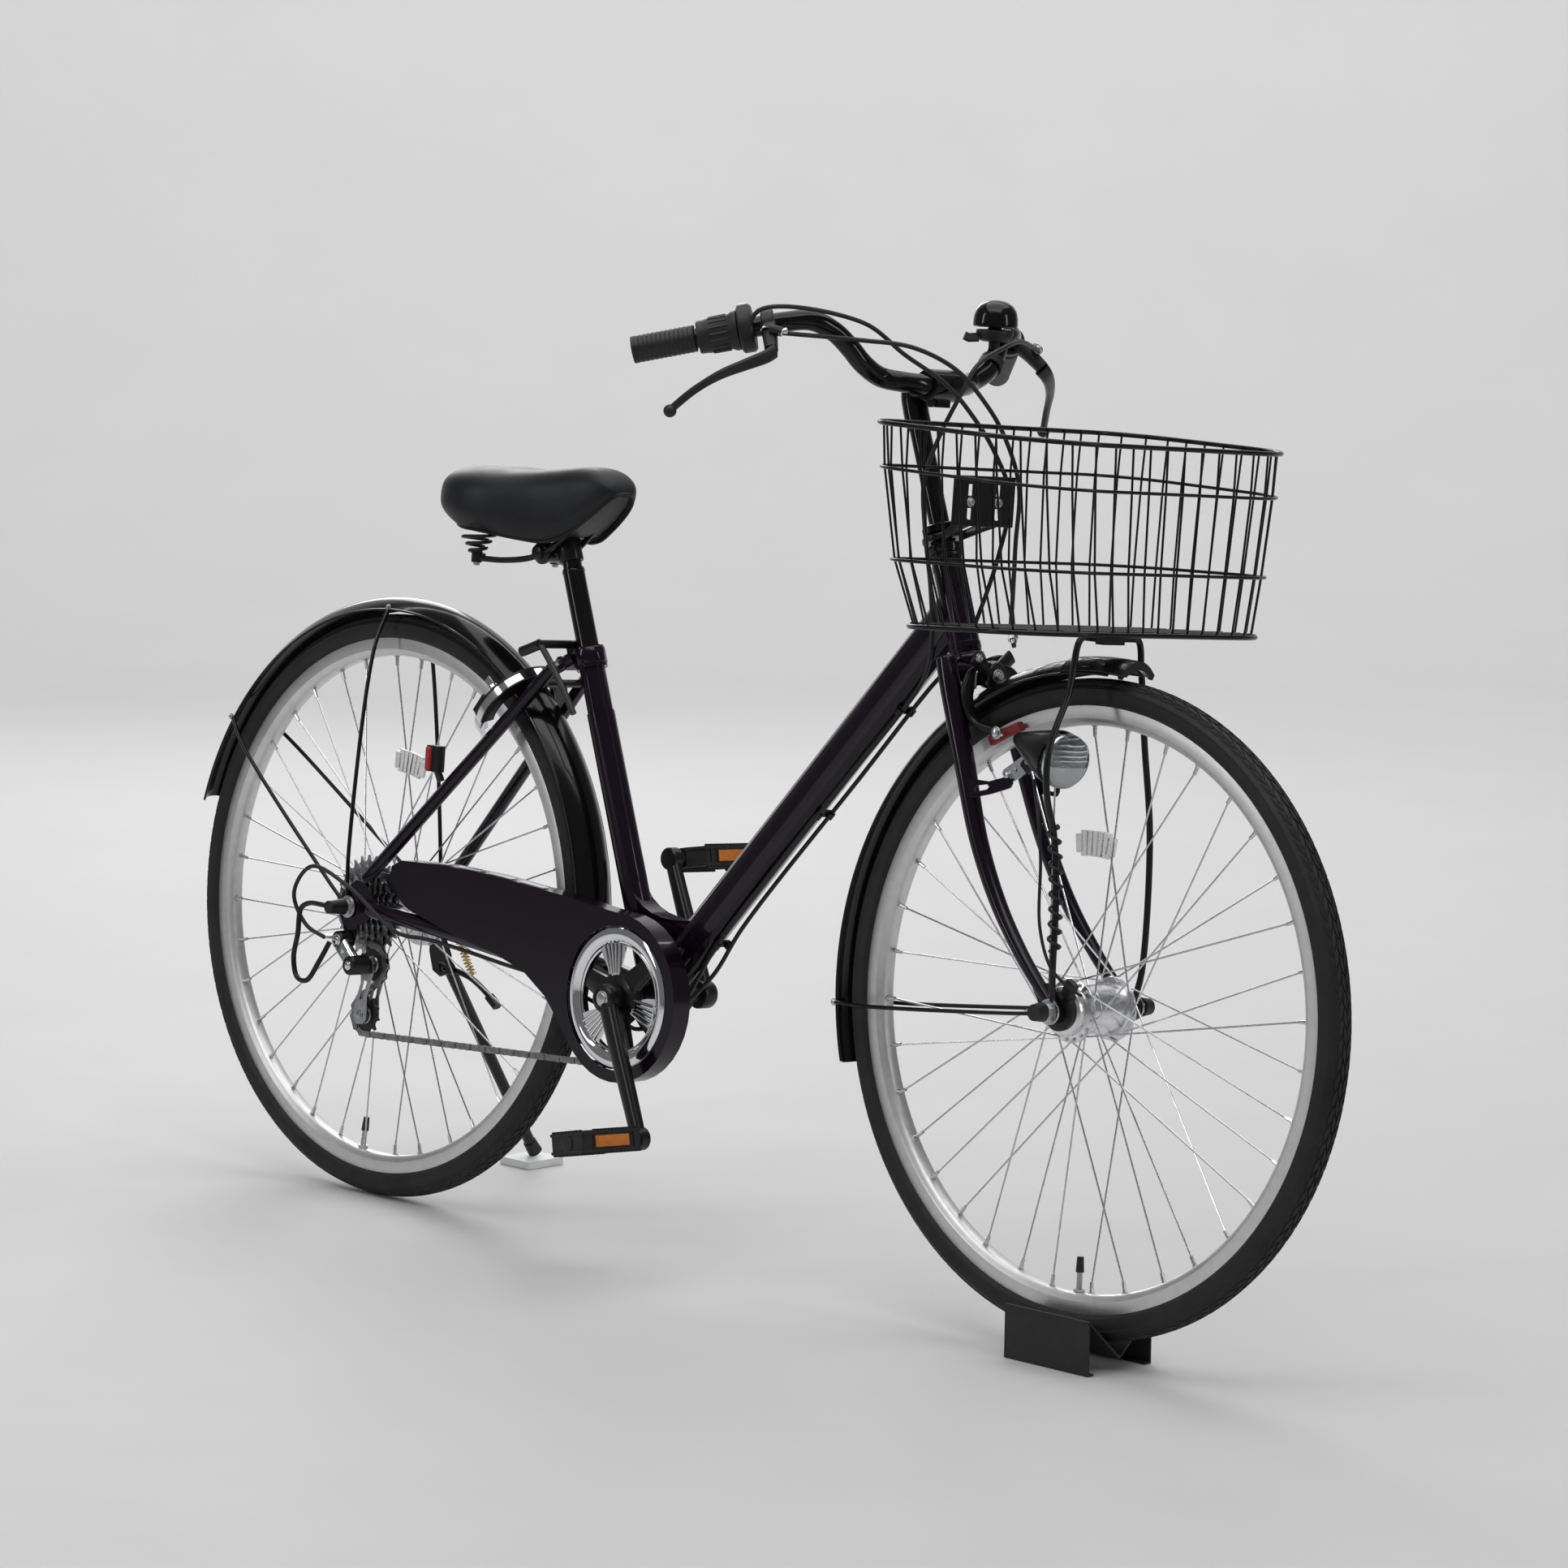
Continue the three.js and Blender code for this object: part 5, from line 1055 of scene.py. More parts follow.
def lamp_mirror():
    d = LAMP_AXIS
    b = Build()
    b.spin(LAMP_BACK, d, [(0, 34), (10, 36), (18, 43), (23.6, 52), (26.8, 63), (26.2, 66), (23, 55),
                          (18, 46), (10, 38.6), (0, 36.6)], 18)
    for i in range(5):
        z = 3 + 4.6 * i
        wide = math.sqrt(25 ** 2 - z * z)
        b.box(LAMP_BACK + d * (74 - 0.7 * i) + V(0, 0, z), (2.2, wide * 0.9, 0.7), 0, x=d, y=LAT)
    # The lower half plate takes the near-white reflector colour: painted light that keeps the headlight
    # bright in the basket's shade.
    low = [(24.4 * cos(rad(t)), 24.4 * sin(rad(t))) for t in range(190, 351, 10)]
    upward = d.cross(LAT)
    b.plate([low], 71, 74.5, 1, place=lambda p, q, r: LAMP_BACK + d * r + LAT * p + upward * q)
    b.rod(LAMP_BACK + d * 40, LAMP_BACK + d * 50, 4, 12, 2)
    b.done("headlight_mirror", "headlight", [POLISHED, PRISM_WITH_PAINTED_LIGHT, WHITE], sharp=20)


# ---------- saddle ----------
# place along x, half width, height of the top, height of the lower edge
SADDLE = [(92.5, 16, 836, 822), (95, 34, 846, 812), (101, 52, 855, 805), (112, 66, 861.5, 800),
          (130, 77, 865.5, 796), (152, 83.5, 867, 793.6), (176, 84, 866.4, 792), (204, 76, 865, 789),
          (232, 63, 867, 786), (258, 52, 870, 784.6), (280, 45, 873, 789), (300, 39.5, 875, 800),
          (320, 35, 874, 814), (336, 30, 869, 827), (347, 23, 860, 838), (352.5, 13, 851, 844),
          (354, 5, 847, 845)]
SADDLE_BACK = SADDLE[0][0]
SADDLE_TUCK = 46


def rear_share(x):
    """1 at the saddle's back end, falling to 0 at 60 mm ahead of it."""
    return max(0, 1 - (x - SADDLE_BACK) / 60)


def cover_point(x, wide, top, edge, turn):
    """A point of the cover: a crowned top with a shallow groove, and a skirt that tucks in below."""
    waist = edge + 0.38 * (top - edge)
    c, s = cos(turn), sin(turn)
    y = wide * math.copysign(abs(c) ** 0.72, c)
    if s <= 0:
        tucked = 80 * rear_share(x) * (1 - abs(c))
        return V(x + tucked, y, waist + (waist - edge) * s / sin(rad(SADDLE_TUCK)))
    groove = 2.2 * math.exp(-(y / 16) ** 2) * (1 if x < 290 else 0.3) if s > 0.5 else 0
    return V(x, y, waist + (top - waist) * s ** 0.62 - groove)


def saddle():
    k = 33
    turns = [rad(-SADDLE_TUCK + (180 + 2 * SADDLE_TUCK) * j / (k - 1)) for j in range(k)]
    verts = [cover_point(*row, turn) for row in SADDLE for turn in turns]
    faces = []
    n = len(SADDLE)
    for i in range(n - 1):
        for j in range(k - 1):
            faces.append((i * k + j, i * k + j + 1, (i + 1) * k + j + 1, (i + 1) * k + j))
    faces.append(tuple(range(k)))
    faces.append(tuple((n - 1) * k + j for j in reversed(range(k))))
    b = Build().add(verts, faces)
    ob = b.done("saddle_cover", "seat_body", VINYL, "saddle", row="vinyl", sharp=180)
    shell = ob.modifiers.new("shell", "SOLIDIFY")
    shell.thickness = 0.005
    shell.offset = -1
    sub = ob.modifiers.new("round", "SUBSURF")
    sub.levels = sub.render_levels = 2
    for mod in list(ob.modifiers):
        with bpy.context.temp_override(object=ob, active_object=ob, selected_objects=[ob]):
            bpy.ops.object.modifier_apply(modifier=mod.name)


def saddle_edge():
    """The piped edge of the cover, and the stiff base above it."""
    b = Build()
    left = [V(x + 24.4 * rear_share(x), w * 0.76, edge + 1) for x, w, _, edge in SADDLE[1:-1]]
    right = [V(p.x, -p.y, p.z) for p in reversed(left)]
    b.tube(path(left + right, 120), 2.0, 8)
    base = [(x, w * 0.75 - 4, edge + 5) for x, w, _, edge in SADDLE[5:-2]]
    verts = [V(x, y, z) for x, w, z in base for y in (-w, -w / 2, 0, w / 2, w)]
    faces = [(5 * i + j, 5 * i + j + 1, 5 * i + 6 + j, 5 * i + 5 + j) for i in range(len(base) - 1)
             for j in range(4)]
    b.add(verts, faces, 1)
    b.done("saddle_edge_and_base", "seat_body", [VINYL, RESIN])


SPRING_TURNS = 3.1


def saddle_frame():
    b = Build()
    pin = seat_axis(524) + V(-21, 0, -8)
    for s in (-1, 1):
        foot = V(176, 60 * s, 764)
        coil = []
        for t in shares(170):
            a = 2 * math.pi * SPRING_TURNS * t
            r = 8 + 12 * t ** 1.6
            coil.append(foot + V(r * cos(a), r * sin(a), 24 * t))
        b.tube(coil, 2.1, 8)
        b.rod(V(176, 60 * s, 756), V(176, 60 * s, 770), 6.2, 16)
        b.bolt(V(176, 60 * s, 756.4), V(0, 0, -1), 4, 3, 1)
        rail = [V(176, 60 * s, 761), V(206, 44 * s, 761), V(232, 28 * s, 766), V(256, 21 * s, 778),
                V(284, 17 * s, 799), V(310, 12 * s, 822), V(328, 8 * s, 838)]
        b.tube(path(rail, 60), 3.5, 12)
        b.spin(pin + V(0, 17 * s, 0), LAT * s, [(0, 0), (12.4, 0), (13.6, 1.4), (13.6, 5), (12, 7), (8, 8),
                                                (8, 13), (6, 14), (0, 14)], 28)
    b.spin(pin + V(0, -19, 0), LAT, band(0, 11.4, 0, 38), 28)
    b.tube([pin, seat_axis(527)], (13, 10), section=squared(20, 0.6))
    b.spin(seat_axis(506), -STEER_DIR, [(11.2, 0), (13.6, 0), (14.2, 1.5), (14.2, 33), (13, 35.4),
                                        (11.2, 36)], 36)
    b.rod(V(326, -12, 838), V(326, 12, 838), 4.6, 14)
    b.done("saddle_undercarriage", "seat_body", [SATIN, ZINC], "saddle_frame", bevel=0.4)


def seat_post():
    b = Build()
    b.rod(seat_axis(276), seat_axis(498), 12.45, 40)
    b.rod(seat_axis(496), seat_axis(531), 10.9, 32)
    b.spin(seat_axis(493), -STEER_DIR, [(12.4, 0), (13, 0.6), (13, 3), (11, 6), (10.9, 6)], 40)
    b.done("seat_post_tube", "seat_body", GLOSS, "seat_post", bevel=0.5)


def seat_clamp():
    b = Build()
    pin = V(286, 0, 672)
    b.rod(pin + V(0, -57, 0), pin + V(0, 17, 0), 4.9, 20)
    b.tube([pin + V(0, -54, 0), V(270, -54, 666), V(256, -54, 661)], (5.6, 6.2), 18)
    b.tube(path([V(286, -54, 672), V(302, -54, 656), V(328, -54, 626), V(349, -54, 599)], 24), 3.7, 14)
    b.bolt(pin + V(0, 16, 0), LAT, 6.5, 4, 1)
    b.done("seat_clamp_handle", "seat_clamp", [SATIN, ZINC], "seat_clamp_lever", bevel=0.5)


def seat_lug():
    b = Build()
    b.spin(seat_axis(384), -STEER_DIR, [(15.0, 0), (18, 0), (18.6, 0.8), (18.6, 17), (17.8, 19),
                                        (13, 19.4)], 40)
    b.box(seat_axis(399) + V(-20, 0, 1), (6.5, 11, 9), 0, x=V(-DOWN[1], 0, DOWN[0]))
    b.done("seat_lug", "frame_body", PAINT, bevel=1.0)


# ---------- drive train ----------
GUIDE, TENSION = (24, 276), (16, 216)
WHEELS = [(REAR, pitch_radius(20), -1), (BB, pitch_radius(38), -1), (TENSION, pitch_radius(11), -1),
          (GUIDE, pitch_radius(11), 1)]


def chain_line():
    """The chain's closed path: arcs on the four wheels, and the tangents between them."""
    def tangent(a, b):
        (ca, ra, ta), (cb, rb, tb) = a, b
        dx, dz, k = cb[0] - ca[0], cb[1] - ca[1], tb * rb - ta * ra
        sq = dx * dx + dz * dz
        ln = math.sqrt(sq - k * k)
        ux, uz = (ln * dx + k * dz) / sq, (ln * dz - k * dx) / sq
        return [(c[0] + t * r * uz, c[1] - t * r * ux) for c, r, t in (a, b)]
    runs = [tangent(WHEELS[i], WHEELS[(i + 1) % 4]) for i in range(4)]
    line = []
    for i, (c, r, t) in enumerate(WHEELS):
        arrive, leave = runs[i - 1][1], runs[i][0]
        a0 = math.atan2(arrive[1] - c[1], arrive[0] - c[0])
        a1 = math.atan2(leave[1] - c[1], leave[0] - c[0])
        sweep = a1 - a0
        if t > 0 and sweep < 0:
            sweep += 2 * math.pi
        if t < 0 and sweep > 0:
            sweep -= 2 * math.pi
        line += [V(c[0] + r * cos(a0 + sweep * j / 24), -47, c[1] + r * sin(a0 + sweep * j / 24))
                 for j in range(25)]
    return line + [line[0]]


def link_outline(half):
    """A link plate with round ends and a slight waist, its rivets at half either side of the middle."""
    out = []
    for c, s in circle(20):
        end = half * (1 if c > 0 else -1) * (1 if abs(c) > 0.3 else abs(c) / 0.3)
        waist = 1 - 0.22 * (1 - min(1, abs(c) * 2.2))
        out.append((end + 4.3 * c, 4.3 * s * waist))
    return out


def chain():
    line = chain_line()
    total = sum((b - a).length for a, b in zip(line, line[1:]))
    count = 2 * round(total / (2 * CHAIN_PITCH))
    pins = even(line, count)
    b = Build()
    for i in range(count):
        a, c = pins[i], pins[i + 1]
        u = (c - a).normalized()
        w = V(-u.z, 0, u.x)
        mid = a.lerp(c, 0.5)
        out = link_outline((c - a).length / 2)
        for ys in ((-2.55, -1.75), (1.75, 2.55)) if i % 2 else ((-1.7, -1.0), (1.0, 1.7)):
            b.plate([out], ys[0], ys[1], place=tilted(mid, u, w))
        b.rod(a - LAT * 2.75, a + LAT * 2.75, 1.75, 8)
        b.rod(a - LAT * 1.0, a + LAT * 1.0, 3.7, 10)
    b.done("chain_links", "frame_body", LINKS, "chain", row="chain_steel", sharp=50)


RADIAN = 57.3  # degrees
CRANK_LENGTH, CRANK_PLANE = 165, 88
CRANK_EYE = [(0, -7.2), (11.6, -7.2), (13, -5.6), (13, 5.6), (11.6, 7.2), (0, 7.2)]


def crankset():
    b = Build()
    b.plate([gear(BB, 38, 3.2), arc(BB, 62, 0, -352, 44)], -48.1, -45.9, 1)
    b.wheel(BB, [(78, -56.4), (77.6, -59.4), (74.5, -61), (70, -61.4), (66, -60.2), (62.5, -57.6),
                 (62.2, -55.4), (70, -55), (77, -55.2)], 96)
    b.wheel(BB, [(60.6, -57.4), (61.4, -56), (59.4, -55.2), (58.6, -56.6)], 96)
    for a0 in (102, -14, 224):
        lobe = [(24, -5), (34, -10), (48, -17), (60, -21), (62, 0), (60, 21), (48, 17), (34, 10), (24, 5)]
        b.plate([lobe], -58.2, -56.4, place=lambda u, v, w, a0=a0: polar(BB, u, a0 + v / u * RADIAN, w))
        for v in (-0.62, -0.3, 0, 0.3, 0.62):
            rib = []
            for r in (28, 36, 44, 52, 61):
                t = (r - 24) / 38
                rib.append(polar(BB, r, a0 + v * 21 * (0.5 + 0.5 * t) / r * RADIAN, -59.0 - 0.5 * t))
            b.tube(rib, (1.1, 1.5), 8)
    for i in range(3):
        a = 44 + 120 * i
        b.tube([polar(BB, 12, a, -56), polar(BB, 34, a, -55.4), polar(BB, 50, a, -53),
                polar(BB, 66, a, -51)], lambda t: (3.4, 15 - 5 * t), m=1, section=squared(18, 0.7))
    b.wheel(BB, [(12, -50), (31, -50), (32, -52), (29, -57), (20, -60.5), (12, -61)], 48, 1)
    b.done("chainring_and_guard", "crankset", [CHROME, SATIN], "chainring", row="chrome", sharp=32)


def cranks():
    for s, side, deg in ((-1, "right", -60.6), (1, "left", 119.4)):
        b = Build()
        end = polar(BB, CRANK_LENGTH, deg, CRANK_PLANE * s)
        boss = at(BB, 74 * s)
        b.tube(path([boss.lerp(end, -0.02), boss.lerp(end, 0.3) + V(0, 0.6 * s, 0), boss.lerp(end, 0.75),
                     end], 24), lambda t: (6.4 + 0.8 * (1 - t), 12.6 - 3.2 * t), section=squared(24, 0.75))
        b.spin(at(BB, 0), LAT, [(0, 62.6 * s), (15.4, 62.6 * s), (16.2, 64 * s), (16.2, 79 * s),
                                (14.6, 82 * s), (11.6, 82.6 * s), (11, 81 * s), (0, 81 * s)], 36)
        b.spin(end, LAT, [(r, w * s) for r, w in CRANK_EYE], 36)
        b.bolt(at(BB, 80.8 * s), LAT * s, 6.8, 1.6, 1)
        if s > 0:
            b.rod(at(BB, -61), at(BB, 63), 8.4, 24)
        b.done("crank_%s_forged" % side, "crankset", [SATIN, ZINC], "crank_" + side, bevel=0.4)
        pedal(s, side, end)


PEDAL_TILT = 12


def pedal(s, side, end):
    """A caged pedal around its spindle along y, then tilted and carried to the crank's end."""
    b = Build()
    b.rod(V(0, 95.6 * s, 0), V(0, 192 * s, 0), 8.8, 24, 0, 7.8)
    b.rod(V(0, 95.4 * s, 0), V(0, 104 * s, 0), 11.2, 24, 0)

    def flat(u, v, w):
        return V(u, v * s, w)
    outer = [(-13, 97), (13, 97), (31.2, 113), (31.2, 182), (25.4, 195), (-25.4, 195), (-31.2, 182),
             (-31.2, 113)]
    inner = [(-11, 101), (11, 101), (26.6, 115), (26.6, 180), (22, 190), (-22, 190), (-26.6, 180),
             (-26.6, 115)]
    for w in (-11.4, 8.0):
        b.plate([outer, inner], w, w + 3.4, 0, place=flat)
    wall = [(p * 0.965, 146 + (q - 146) * 0.975) for p, q in outer]
    hollow = [(p * 0.92, 146 + (q - 146) * 0.95) for p, q in outer]
    b.plate([wall, hollow], -8.4, 8.4, 0, place=flat)
    for e in (-1, 1):
        for i in range(13):
            for q in (-1, 1):
                b.box((29.2 * e, (115.5 + 5.3 * i) * s, 12.2 * q), (2.2, 1.3, 1.5))
        for i in range(8):
            b.box(((-21 + 6 * i), 192.8 * s, 12.2 * e), (1.4, 2.2, 1.5))
        b.box((29.6 * e, 156 * s, 0), (1.9, 26.2, 7.6), 0)
        b.box((30.2 * e, 156 * s, 0), (1.9, 24.4, 6.2), 1)
        b.box((29.8 * e, 122 * s, 0), (1.5, 2.0, 9), 0)
        b.box((18.6 * e, 128 * s, 0), (9, 2.2, 8.4))
        b.box((18.6 * e, 168 * s, 0), (9, 2.2, 8.4))
        b.box((18 * e, 148 * s, 0), (2, 22, 8.0))
    b.spin(V(0, 193.6 * s, 0), LAT * s, [(0, 0), (9, 0), (9, 1.2), (7, 1.7), (0, 1.8)], 24)
    c, d = cos(rad(PEDAL_TILT)), sin(rad(PEDAL_TILT))
    b.verts = [V(end.x + v.x * c - v.z * d, v.y, end.z + v.x * d + v.z * c) for v in b.verts]
    b.done("pedal_%s_caged" % side, side + "_pedal", [RESIN, AMBER], "pedal_" + side, row="resin",
           bevel=0.3)


def derailleur():
    b = Build()
    b.spin(V(1, -86, 303), LAT, [(0, 0), (8, 0), (10.4, 1.4), (10.8, 4), (10.8, 15.6), (9, 16), (0, 16)],
           28)
    b.bolt(V(1, -86, 303), -LAT, 5.4, 2, 1)
    b.tube([V(2, -80, 300), V(12, -80, 291), V(22, -79, 281)], (5.6, 10.4), section=squared(20, 0.55), m=1)
    b.tube([V(4, -84.2, 297), V(20, -83.6, 283)], (1.6, 7.4), section=squared(16, 0.5), m=2)
    b.spin(V(24, -86, 276), LAT, [(0, 0), (9.6, 0), (11.6, 2), (11.6, 25), (0, 25.4)], 28)
    b.bolt(V(24, -86, 276), -LAT, 4, 1.6, 1)
    b.rod(V(-6, -78, 306), V(-17, -88, 305), 3.4, 14, 1, 2.8)
    b.done("derailleur_body_cast", "derailleur", [SATIN, CHROME, BRAKE_CHROME], "derailleur_knuckle",
           bevel=0.5)


def derailleur_cage():
    g, t = GUIDE, TENSION
    b = Build()
    out = [(g[0] - 8, g[1] + 7), (g[0], g[1] + 9), (g[0] + 9, g[1] + 6), (g[0] + 12, g[1] - 8),
           (g[0] + 6, g[1] - 26), (t[0] + 10, t[1] + 22), (t[0] + 12, t[1] - 3), (t[0] + 6, t[1] - 10),
           (t[0] - 5, t[1] - 11), (t[0] - 11, t[1] - 4), (t[0] - 10, t[1] + 12), (g[0] - 9, g[1] - 22),
           (g[0] - 11, g[1] - 6)]
    hole = [(t[0] - 2, t[1] + 18), (t[0] + 4, t[1] + 20), (g[0] + 2, g[1] - 20), (g[0] - 4, g[1] - 18)]
    for lo, hi in ((-57.4, -55.8), (-38.2, -36.6)):
        b.plate([out, hole[::-1]], lo, hi)
    for p in (g, t):
        b.rod(at(p, -57), at(p, -37), 3.0, 14)
        b.bolt(at(p, -57.4), -LAT, 4.4, 1.4, 0)
    b.done("derailleur_cage_plates", "cage", BRAKE_CHROME, "derailleur_cage", row="zinc", bevel=0.4)


def pulleys():
    for p, node, body in ((GUIDE, "guide_pulley", "upper_pulley"),
                          (TENSION, "tension_pulley", "lower_pulley")):
        b = Build()
        b.plate([gear(p, 11, 1.5, 9), arc(p, 3.4, 0, -340, 17)], -48.2, -45.8)
        b.wheel(p, [(3.4, -50), (9.5, -50), (10.5, -49), (10.5, -45), (9.5, -44), (3.4, -44)], 32, 1)
        b.done(node + "_toothed", body, [RESIN, BRAKE_CHROME], node, row="resin", sharp=30)


def derailleur_guard():
    b = Build()
    loop = [V(-8, -100, 343), V(-36, -100, 342), V(-50, -100, 334), V(-53, -100, 304), V(-58, -100, 276),
            V(-50, -100, 254), V(-32, -100, 252), V(-14, -98, 276), V(-4, -92, 300)]
    b.tube(path([V(0, -86, 341)] + loop, 80), 3.1, 12)
    b.done("derailleur_guard_wire", "frame_body", SATIN)


# ---------- brake, lock, stand, small parts ----------
def rear_brake():
    b = Build()
    b.wheel(REAR, [(9, 38.2), (44, 38.2), (48, 39.6), (48, 44), (47, 45), (48, 46), (48, 51), (45, 54.6),
                   (36, 56.6), (24, 58), (20, 60), (19, 63.6), (9, 64)], 72)
    b.tube([V(36, 50, 332), V(62, 50, 322), V(91, 50, 313)], (2.4, 8), section=squared(16, 0.6))
    b.rod(V(92, 50, 304), V(92, 50, 320), 3, 12, 1)
    for i in range(18):
        b.box(polar(REAR, 46.8, 20 * i, 48.5), (1.6, 2.6, 3.4), 0, x=polar((0, 0), 1, 20 * i))
    b.done("band_brake_drum", "frame_body", [ZINC, GOLD], "rear_brake", row="zinc", bevel=0.3)


def rear_axle():
    b = Build()
    for s in (-1, 1):
        b.spin(at(REAR, 0), LAT, band(5.2, 13, 70.9 * s, 72.4 * s), 30, 1)
        b.bolt(at(REAR, 72.4 * s), LAT * s, 8.6, 7.4, 1)
        b.rod(at(REAR, 78 * s), at(REAR, 92 * s), 9.4, 24, 0, 8)
    b.rod(at(REAR, -92), at(REAR, -101), 8, 24, 0, 7.4)
    b.rod(at(REAR, -68), at(REAR, 68), 4.9, 16, 1)
    b.done("rear_axle_nuts", "frame_body", [RESIN, ZINC], "rear_axle", bevel=0.3)


LOCK_PLACE = 51.5
LOCK_OUT = polar((0, 0), 1, LOCK_PLACE)
LOCK_ALONG = LAT.cross(LOCK_OUT)


def lock(u, v, w):
    """A point of the ring lock: u to the left, v out from the hub, w along the wheel's rim."""
    return polar(REAR, 322, LOCK_PLACE) + LAT * u + LOCK_OUT * v + LOCK_ALONG * w


def ring_lock():
    b = Build()
    ring = arc((0, 0), 56.6, -48, 228, 60) + arc((0, 0), 50.8, 228, -48, 60)
    b.plate([ring], -7.6, 6.6, 0, place=lock)
    cover = arc((0, 0), 56.8, -20, 200, 44) + arc((0, 0), 40.6, 200, -20, 44)
    b.plate([cover], 4.8, 7.0, 1, place=lock)
    b.plate([cover], -8.0, -4.8, 1, place=lock)
    for u in (-49, 49):
        b.box(lock(u, -6, -10), (5, 12, 4), 1, x=LAT, y=LOCK_OUT)
    b.spin(lock(-48, 20, -12), LOCK_ALONG, band(0, 6, 0, 4), 20)
    b.box(lock(-48, 20, -19), (0.9, 4.6, 6.6), 0, x=LAT, y=LOCK_OUT)
    b.done("ring_lock_case", "frame_body", [CHROME, SATIN], "ring_lock", row="chrome", bevel=0.5)


def lock_bar():
    b = Build()
    b.tube([lock(47 * cos(rad(t)), 47 * sin(rad(t)), 0) for t in range(60, 223, 3)], 3.1, 14)
    b.done("lock_arc_bar", "lock_arc", CHROME, "lock_bolt", row="chrome")


def kickstand():
    b = Build()
    b.tube([V(12, 74, 266), V(12, 80, 270)], 11, 24)
    b.tube(path([V(12, 79, 268), V(6, 112, 226), V(-10, 204, 108), V(-18, 250, 50), V(-19.5, 259, 38)], 40),
           lambda t: 7.4 - 0.6 * t, 20)
    b.tube([V(-18.6, 253, 46), V(-19.4, 259, 39), V(-20, 264.4, 33.2)], lambda t: 8.0 + 1.0 * t, 20, 1)
    b.tube(path([V(12, 82, 266), V(40, 90, 258), V(66, 94, 243), V(80, 96, 232)], 24), 3.6, 14)
    b.tube([V(70, 94.4, 240), V(84, 96, 229)], (6, 4.4), m=1, section=squared(16, 0.6))
    b.done("kickstand_arm", "kickstand", [SATIN, RESIN], "kickstand_leg")


def kickstand_spring():
    b = Build()
    a, c = V(24, 73, 318), V(46, 88, 262)
    u = (c - a).cross(FORWARD).normalized()
    w = (c - a).normalized().cross(u)
    coil = []
    for t in shares(260):
        turn = 2 * math.pi * 15 * t
        coil.append(a.lerp(c, t) + u * (4.4 * cos(turn)) + w * (4.4 * sin(turn)))
    b.tube(coil, 1.0, 6)
    b.done("kickstand_spring", "frame_body", GOLD)


def kickstand_bracket():
    b = Build()
    b.plate([[(-14, 300), (14, 300), (24, 284), (24, 262), (8, 256), (-6, 262), (-14, 284)],
             arc((12, 269), 7, 0, -340, 17)], 70, 72.6)
    b.plate([[(-12, 300), (16, 300), (14, 352), (-12, 352)], arc(REAR, 5.6, 0, -340, 17)], 70, 72.6)
    b.done("kickstand_bracket", "frame_body", SATIN, bevel=0.5)


def rear_reflector():
    b = Build()
    b.tube([V(117, -52, 511), V(117, -52, 541)], (6, 12), section=squared(18, 0.45))
    b.tube([V(112.6, -52, 513), V(112.6, -52, 539)], (4.6, 9.6), m=1, side=FORWARD,
           section=squared(18, 0.4))
    b.tube([V(122, -46, 500), V(118, -50, 514)], (3, 5), section=squared(12, 0.6))
    b.done("rear_reflector", "frame_body", [SATIN, RED], bevel=0.5)


def bearing_cups():
    """The bottom bracket's cups and the headset's races."""
    b = Build()
    for s in (-1, 1):
        b.spin(at(BB, 0), LAT, [(10.8, 35.2 * s), (20, 35.2 * s), (20.6, 36.4 * s), (20.6, 40 * s),
                                (18, 41.4 * s), (10.8, 41.4 * s)], 36)
    b.spin(steer(288.2), STEER_DIR, [(14.4, -3.4), (18, -3.4), (18.8, -2.4), (18.8, -1.0), (14.4, -0.6)],
           40)
    b.spin(steer(176), -STEER_DIR, [(14.4, -3), (18.6, -3), (19.4, -1.4), (19.4, 0.4), (14.4, 0.6)], 40)
    b.spin(steer(184), STEER_DIR, [(17.0, 0), (17.5, 0.4), (17.5, 7), (17.0, 7.4)], 40, 1)
    b.spin(steer(272), STEER_DIR, [(17.0, 0), (17.5, 0.4), (17.5, 7), (17.0, 7.4)], 40, 1)
    b.done("bearing_cups", "frame_body", [SATIN, PAINT], bevel=0.3)


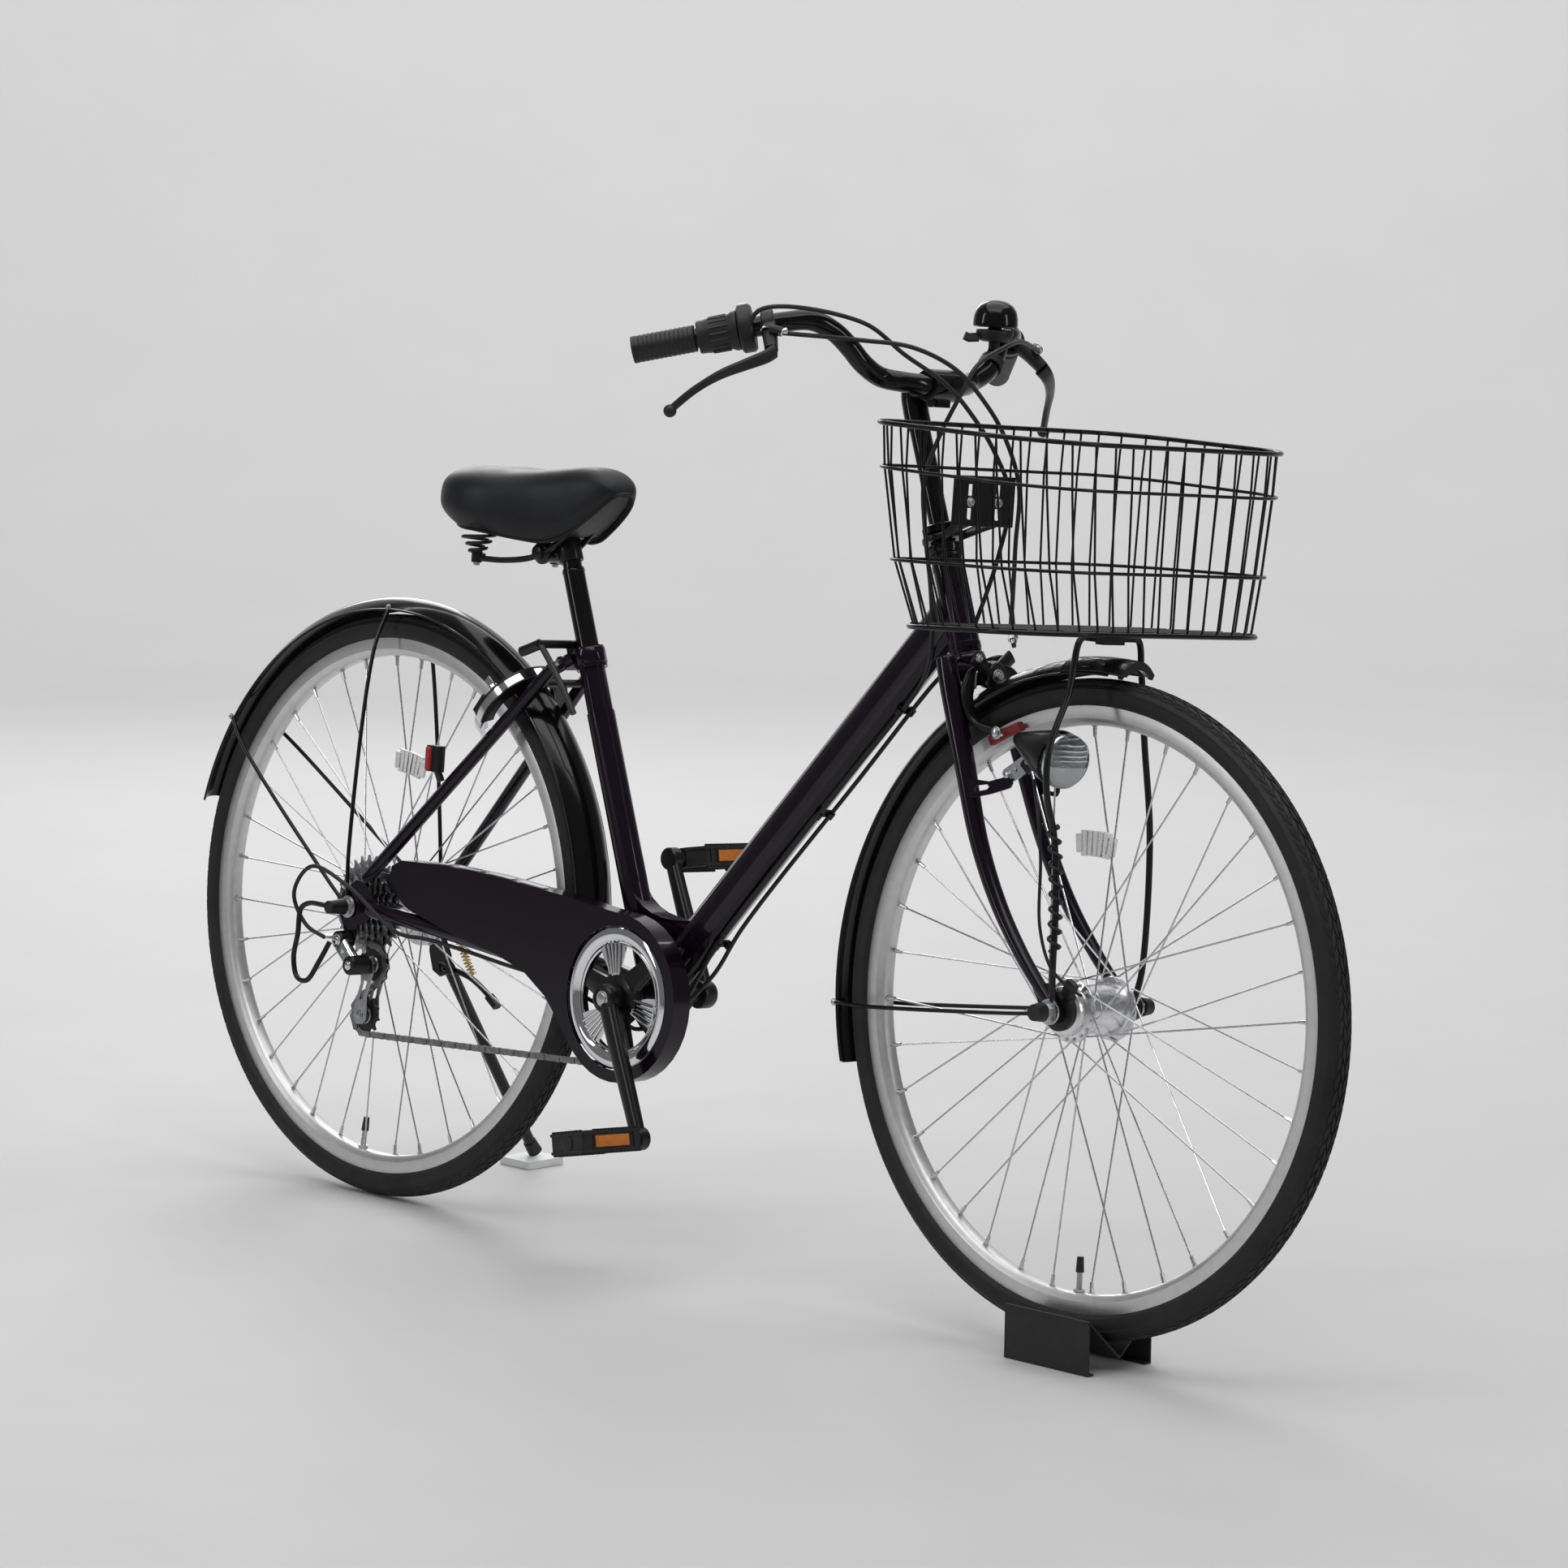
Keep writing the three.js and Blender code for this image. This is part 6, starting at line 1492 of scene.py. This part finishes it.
# Pale bars in four pieces along the chain case's top edge: a painted highlight where the overhead light
# catches the black case.
def chain_case_painted_highlight():
    b = Build()
    line = even([V(x, -55, z) for x, z in ((112, 406.2), (150, 407.6), (240, 405.6), (330, 399))], 100)
    for i in range(4):
        t0, t1 = i / 4 + 0.02, (i + 1) / 4 - 0.03
        a0, a1 = line[round(100 * t0)], line[round(100 * t1)]
        mid = a0.lerp(a1, 0.5)
        b.box(mid + V(0, 0, 0.5), ((a1 - a0).length / 2, 4.6, 0.6), 0, x=(a1 - a0).normalized())
    b.done("chain_case_painted_highlight", "frame_body", PAINTED_HIGHLIGHT, bevel=0.2)


def kept_nodes():
    joined("main_frame", "frame_body", PAINT)
    joined("chain_stays", "frame_body", PAINT)
    joined("seat_stays", "frame_body", PAINT)
    joined("chain_case", "frame_body", PAINT, 1.6, 30)
    keep("wheel_stand", MATT, 0.6, 30)
    keep("foot_block", WHITE, 0.8, 30)


def floor():
    """A floor that turns up into the back wall on a quarter circle."""
    turns = [math.pi / 2 * t for t in shares(25)]
    rows = [(-14, 0)] + [(6 + 4 * sin(t), 4 - 4 * cos(t)) for t in turns] + [(10, 14)]
    verts = [AWAY * d + ACROSS * w + V(0, 0, z - 0.0005) for d, z in rows for w in (-16, 16)]
    faces = [(2 * i, 2 * i + 1, 2 * i + 3, 2 * i + 2) for i in range(len(rows) - 1)]
    mesh = bpy.data.meshes.new("floor")
    mesh.from_pydata(verts, [], faces)
    mesh.materials.append(FLOOR)
    mesh.shade_smooth()
    ob = bpy.data.objects.new("floor", mesh)
    bpy.context.collection.objects.link(ob)



camera()
cables()
cable_clips()
lamp_lead()
studio()
floor()
kept_nodes()
tyre("front", FRONT, "front_wheel")
tyre("rear", REAR, "rear_wheel")
rim("front", FRONT, "front_wheel", 272)
rim("rear", REAR, "rear_wheel", 264)
spokes("front", FRONT, "front_wheel", 30, (-31, 31), 90)
spokes("rear", REAR, "rear_wheel", 20, (-27, 29), 81)
front_hub()
rear_hub()
mudguards()
fork()
front_axle()
stem()
handlebar()
levers()
bell()
basket()
basket_plate()
basket_stay()
calipers()
caliper_spring()
lamp()
lamp_lens()
lamp_mirror()
saddle()
saddle_edge()
saddle_frame()
seat_post()
seat_clamp()
seat_lug()
chain()
crankset()
cranks()
derailleur()
derailleur_cage()
pulleys()
derailleur_guard()
rear_brake()
rear_axle()
ring_lock()
lock_bar()
kickstand()
kickstand_spring()
kickstand_bracket()
rear_reflector()
bearing_cups()
chain_case_painted_highlight()
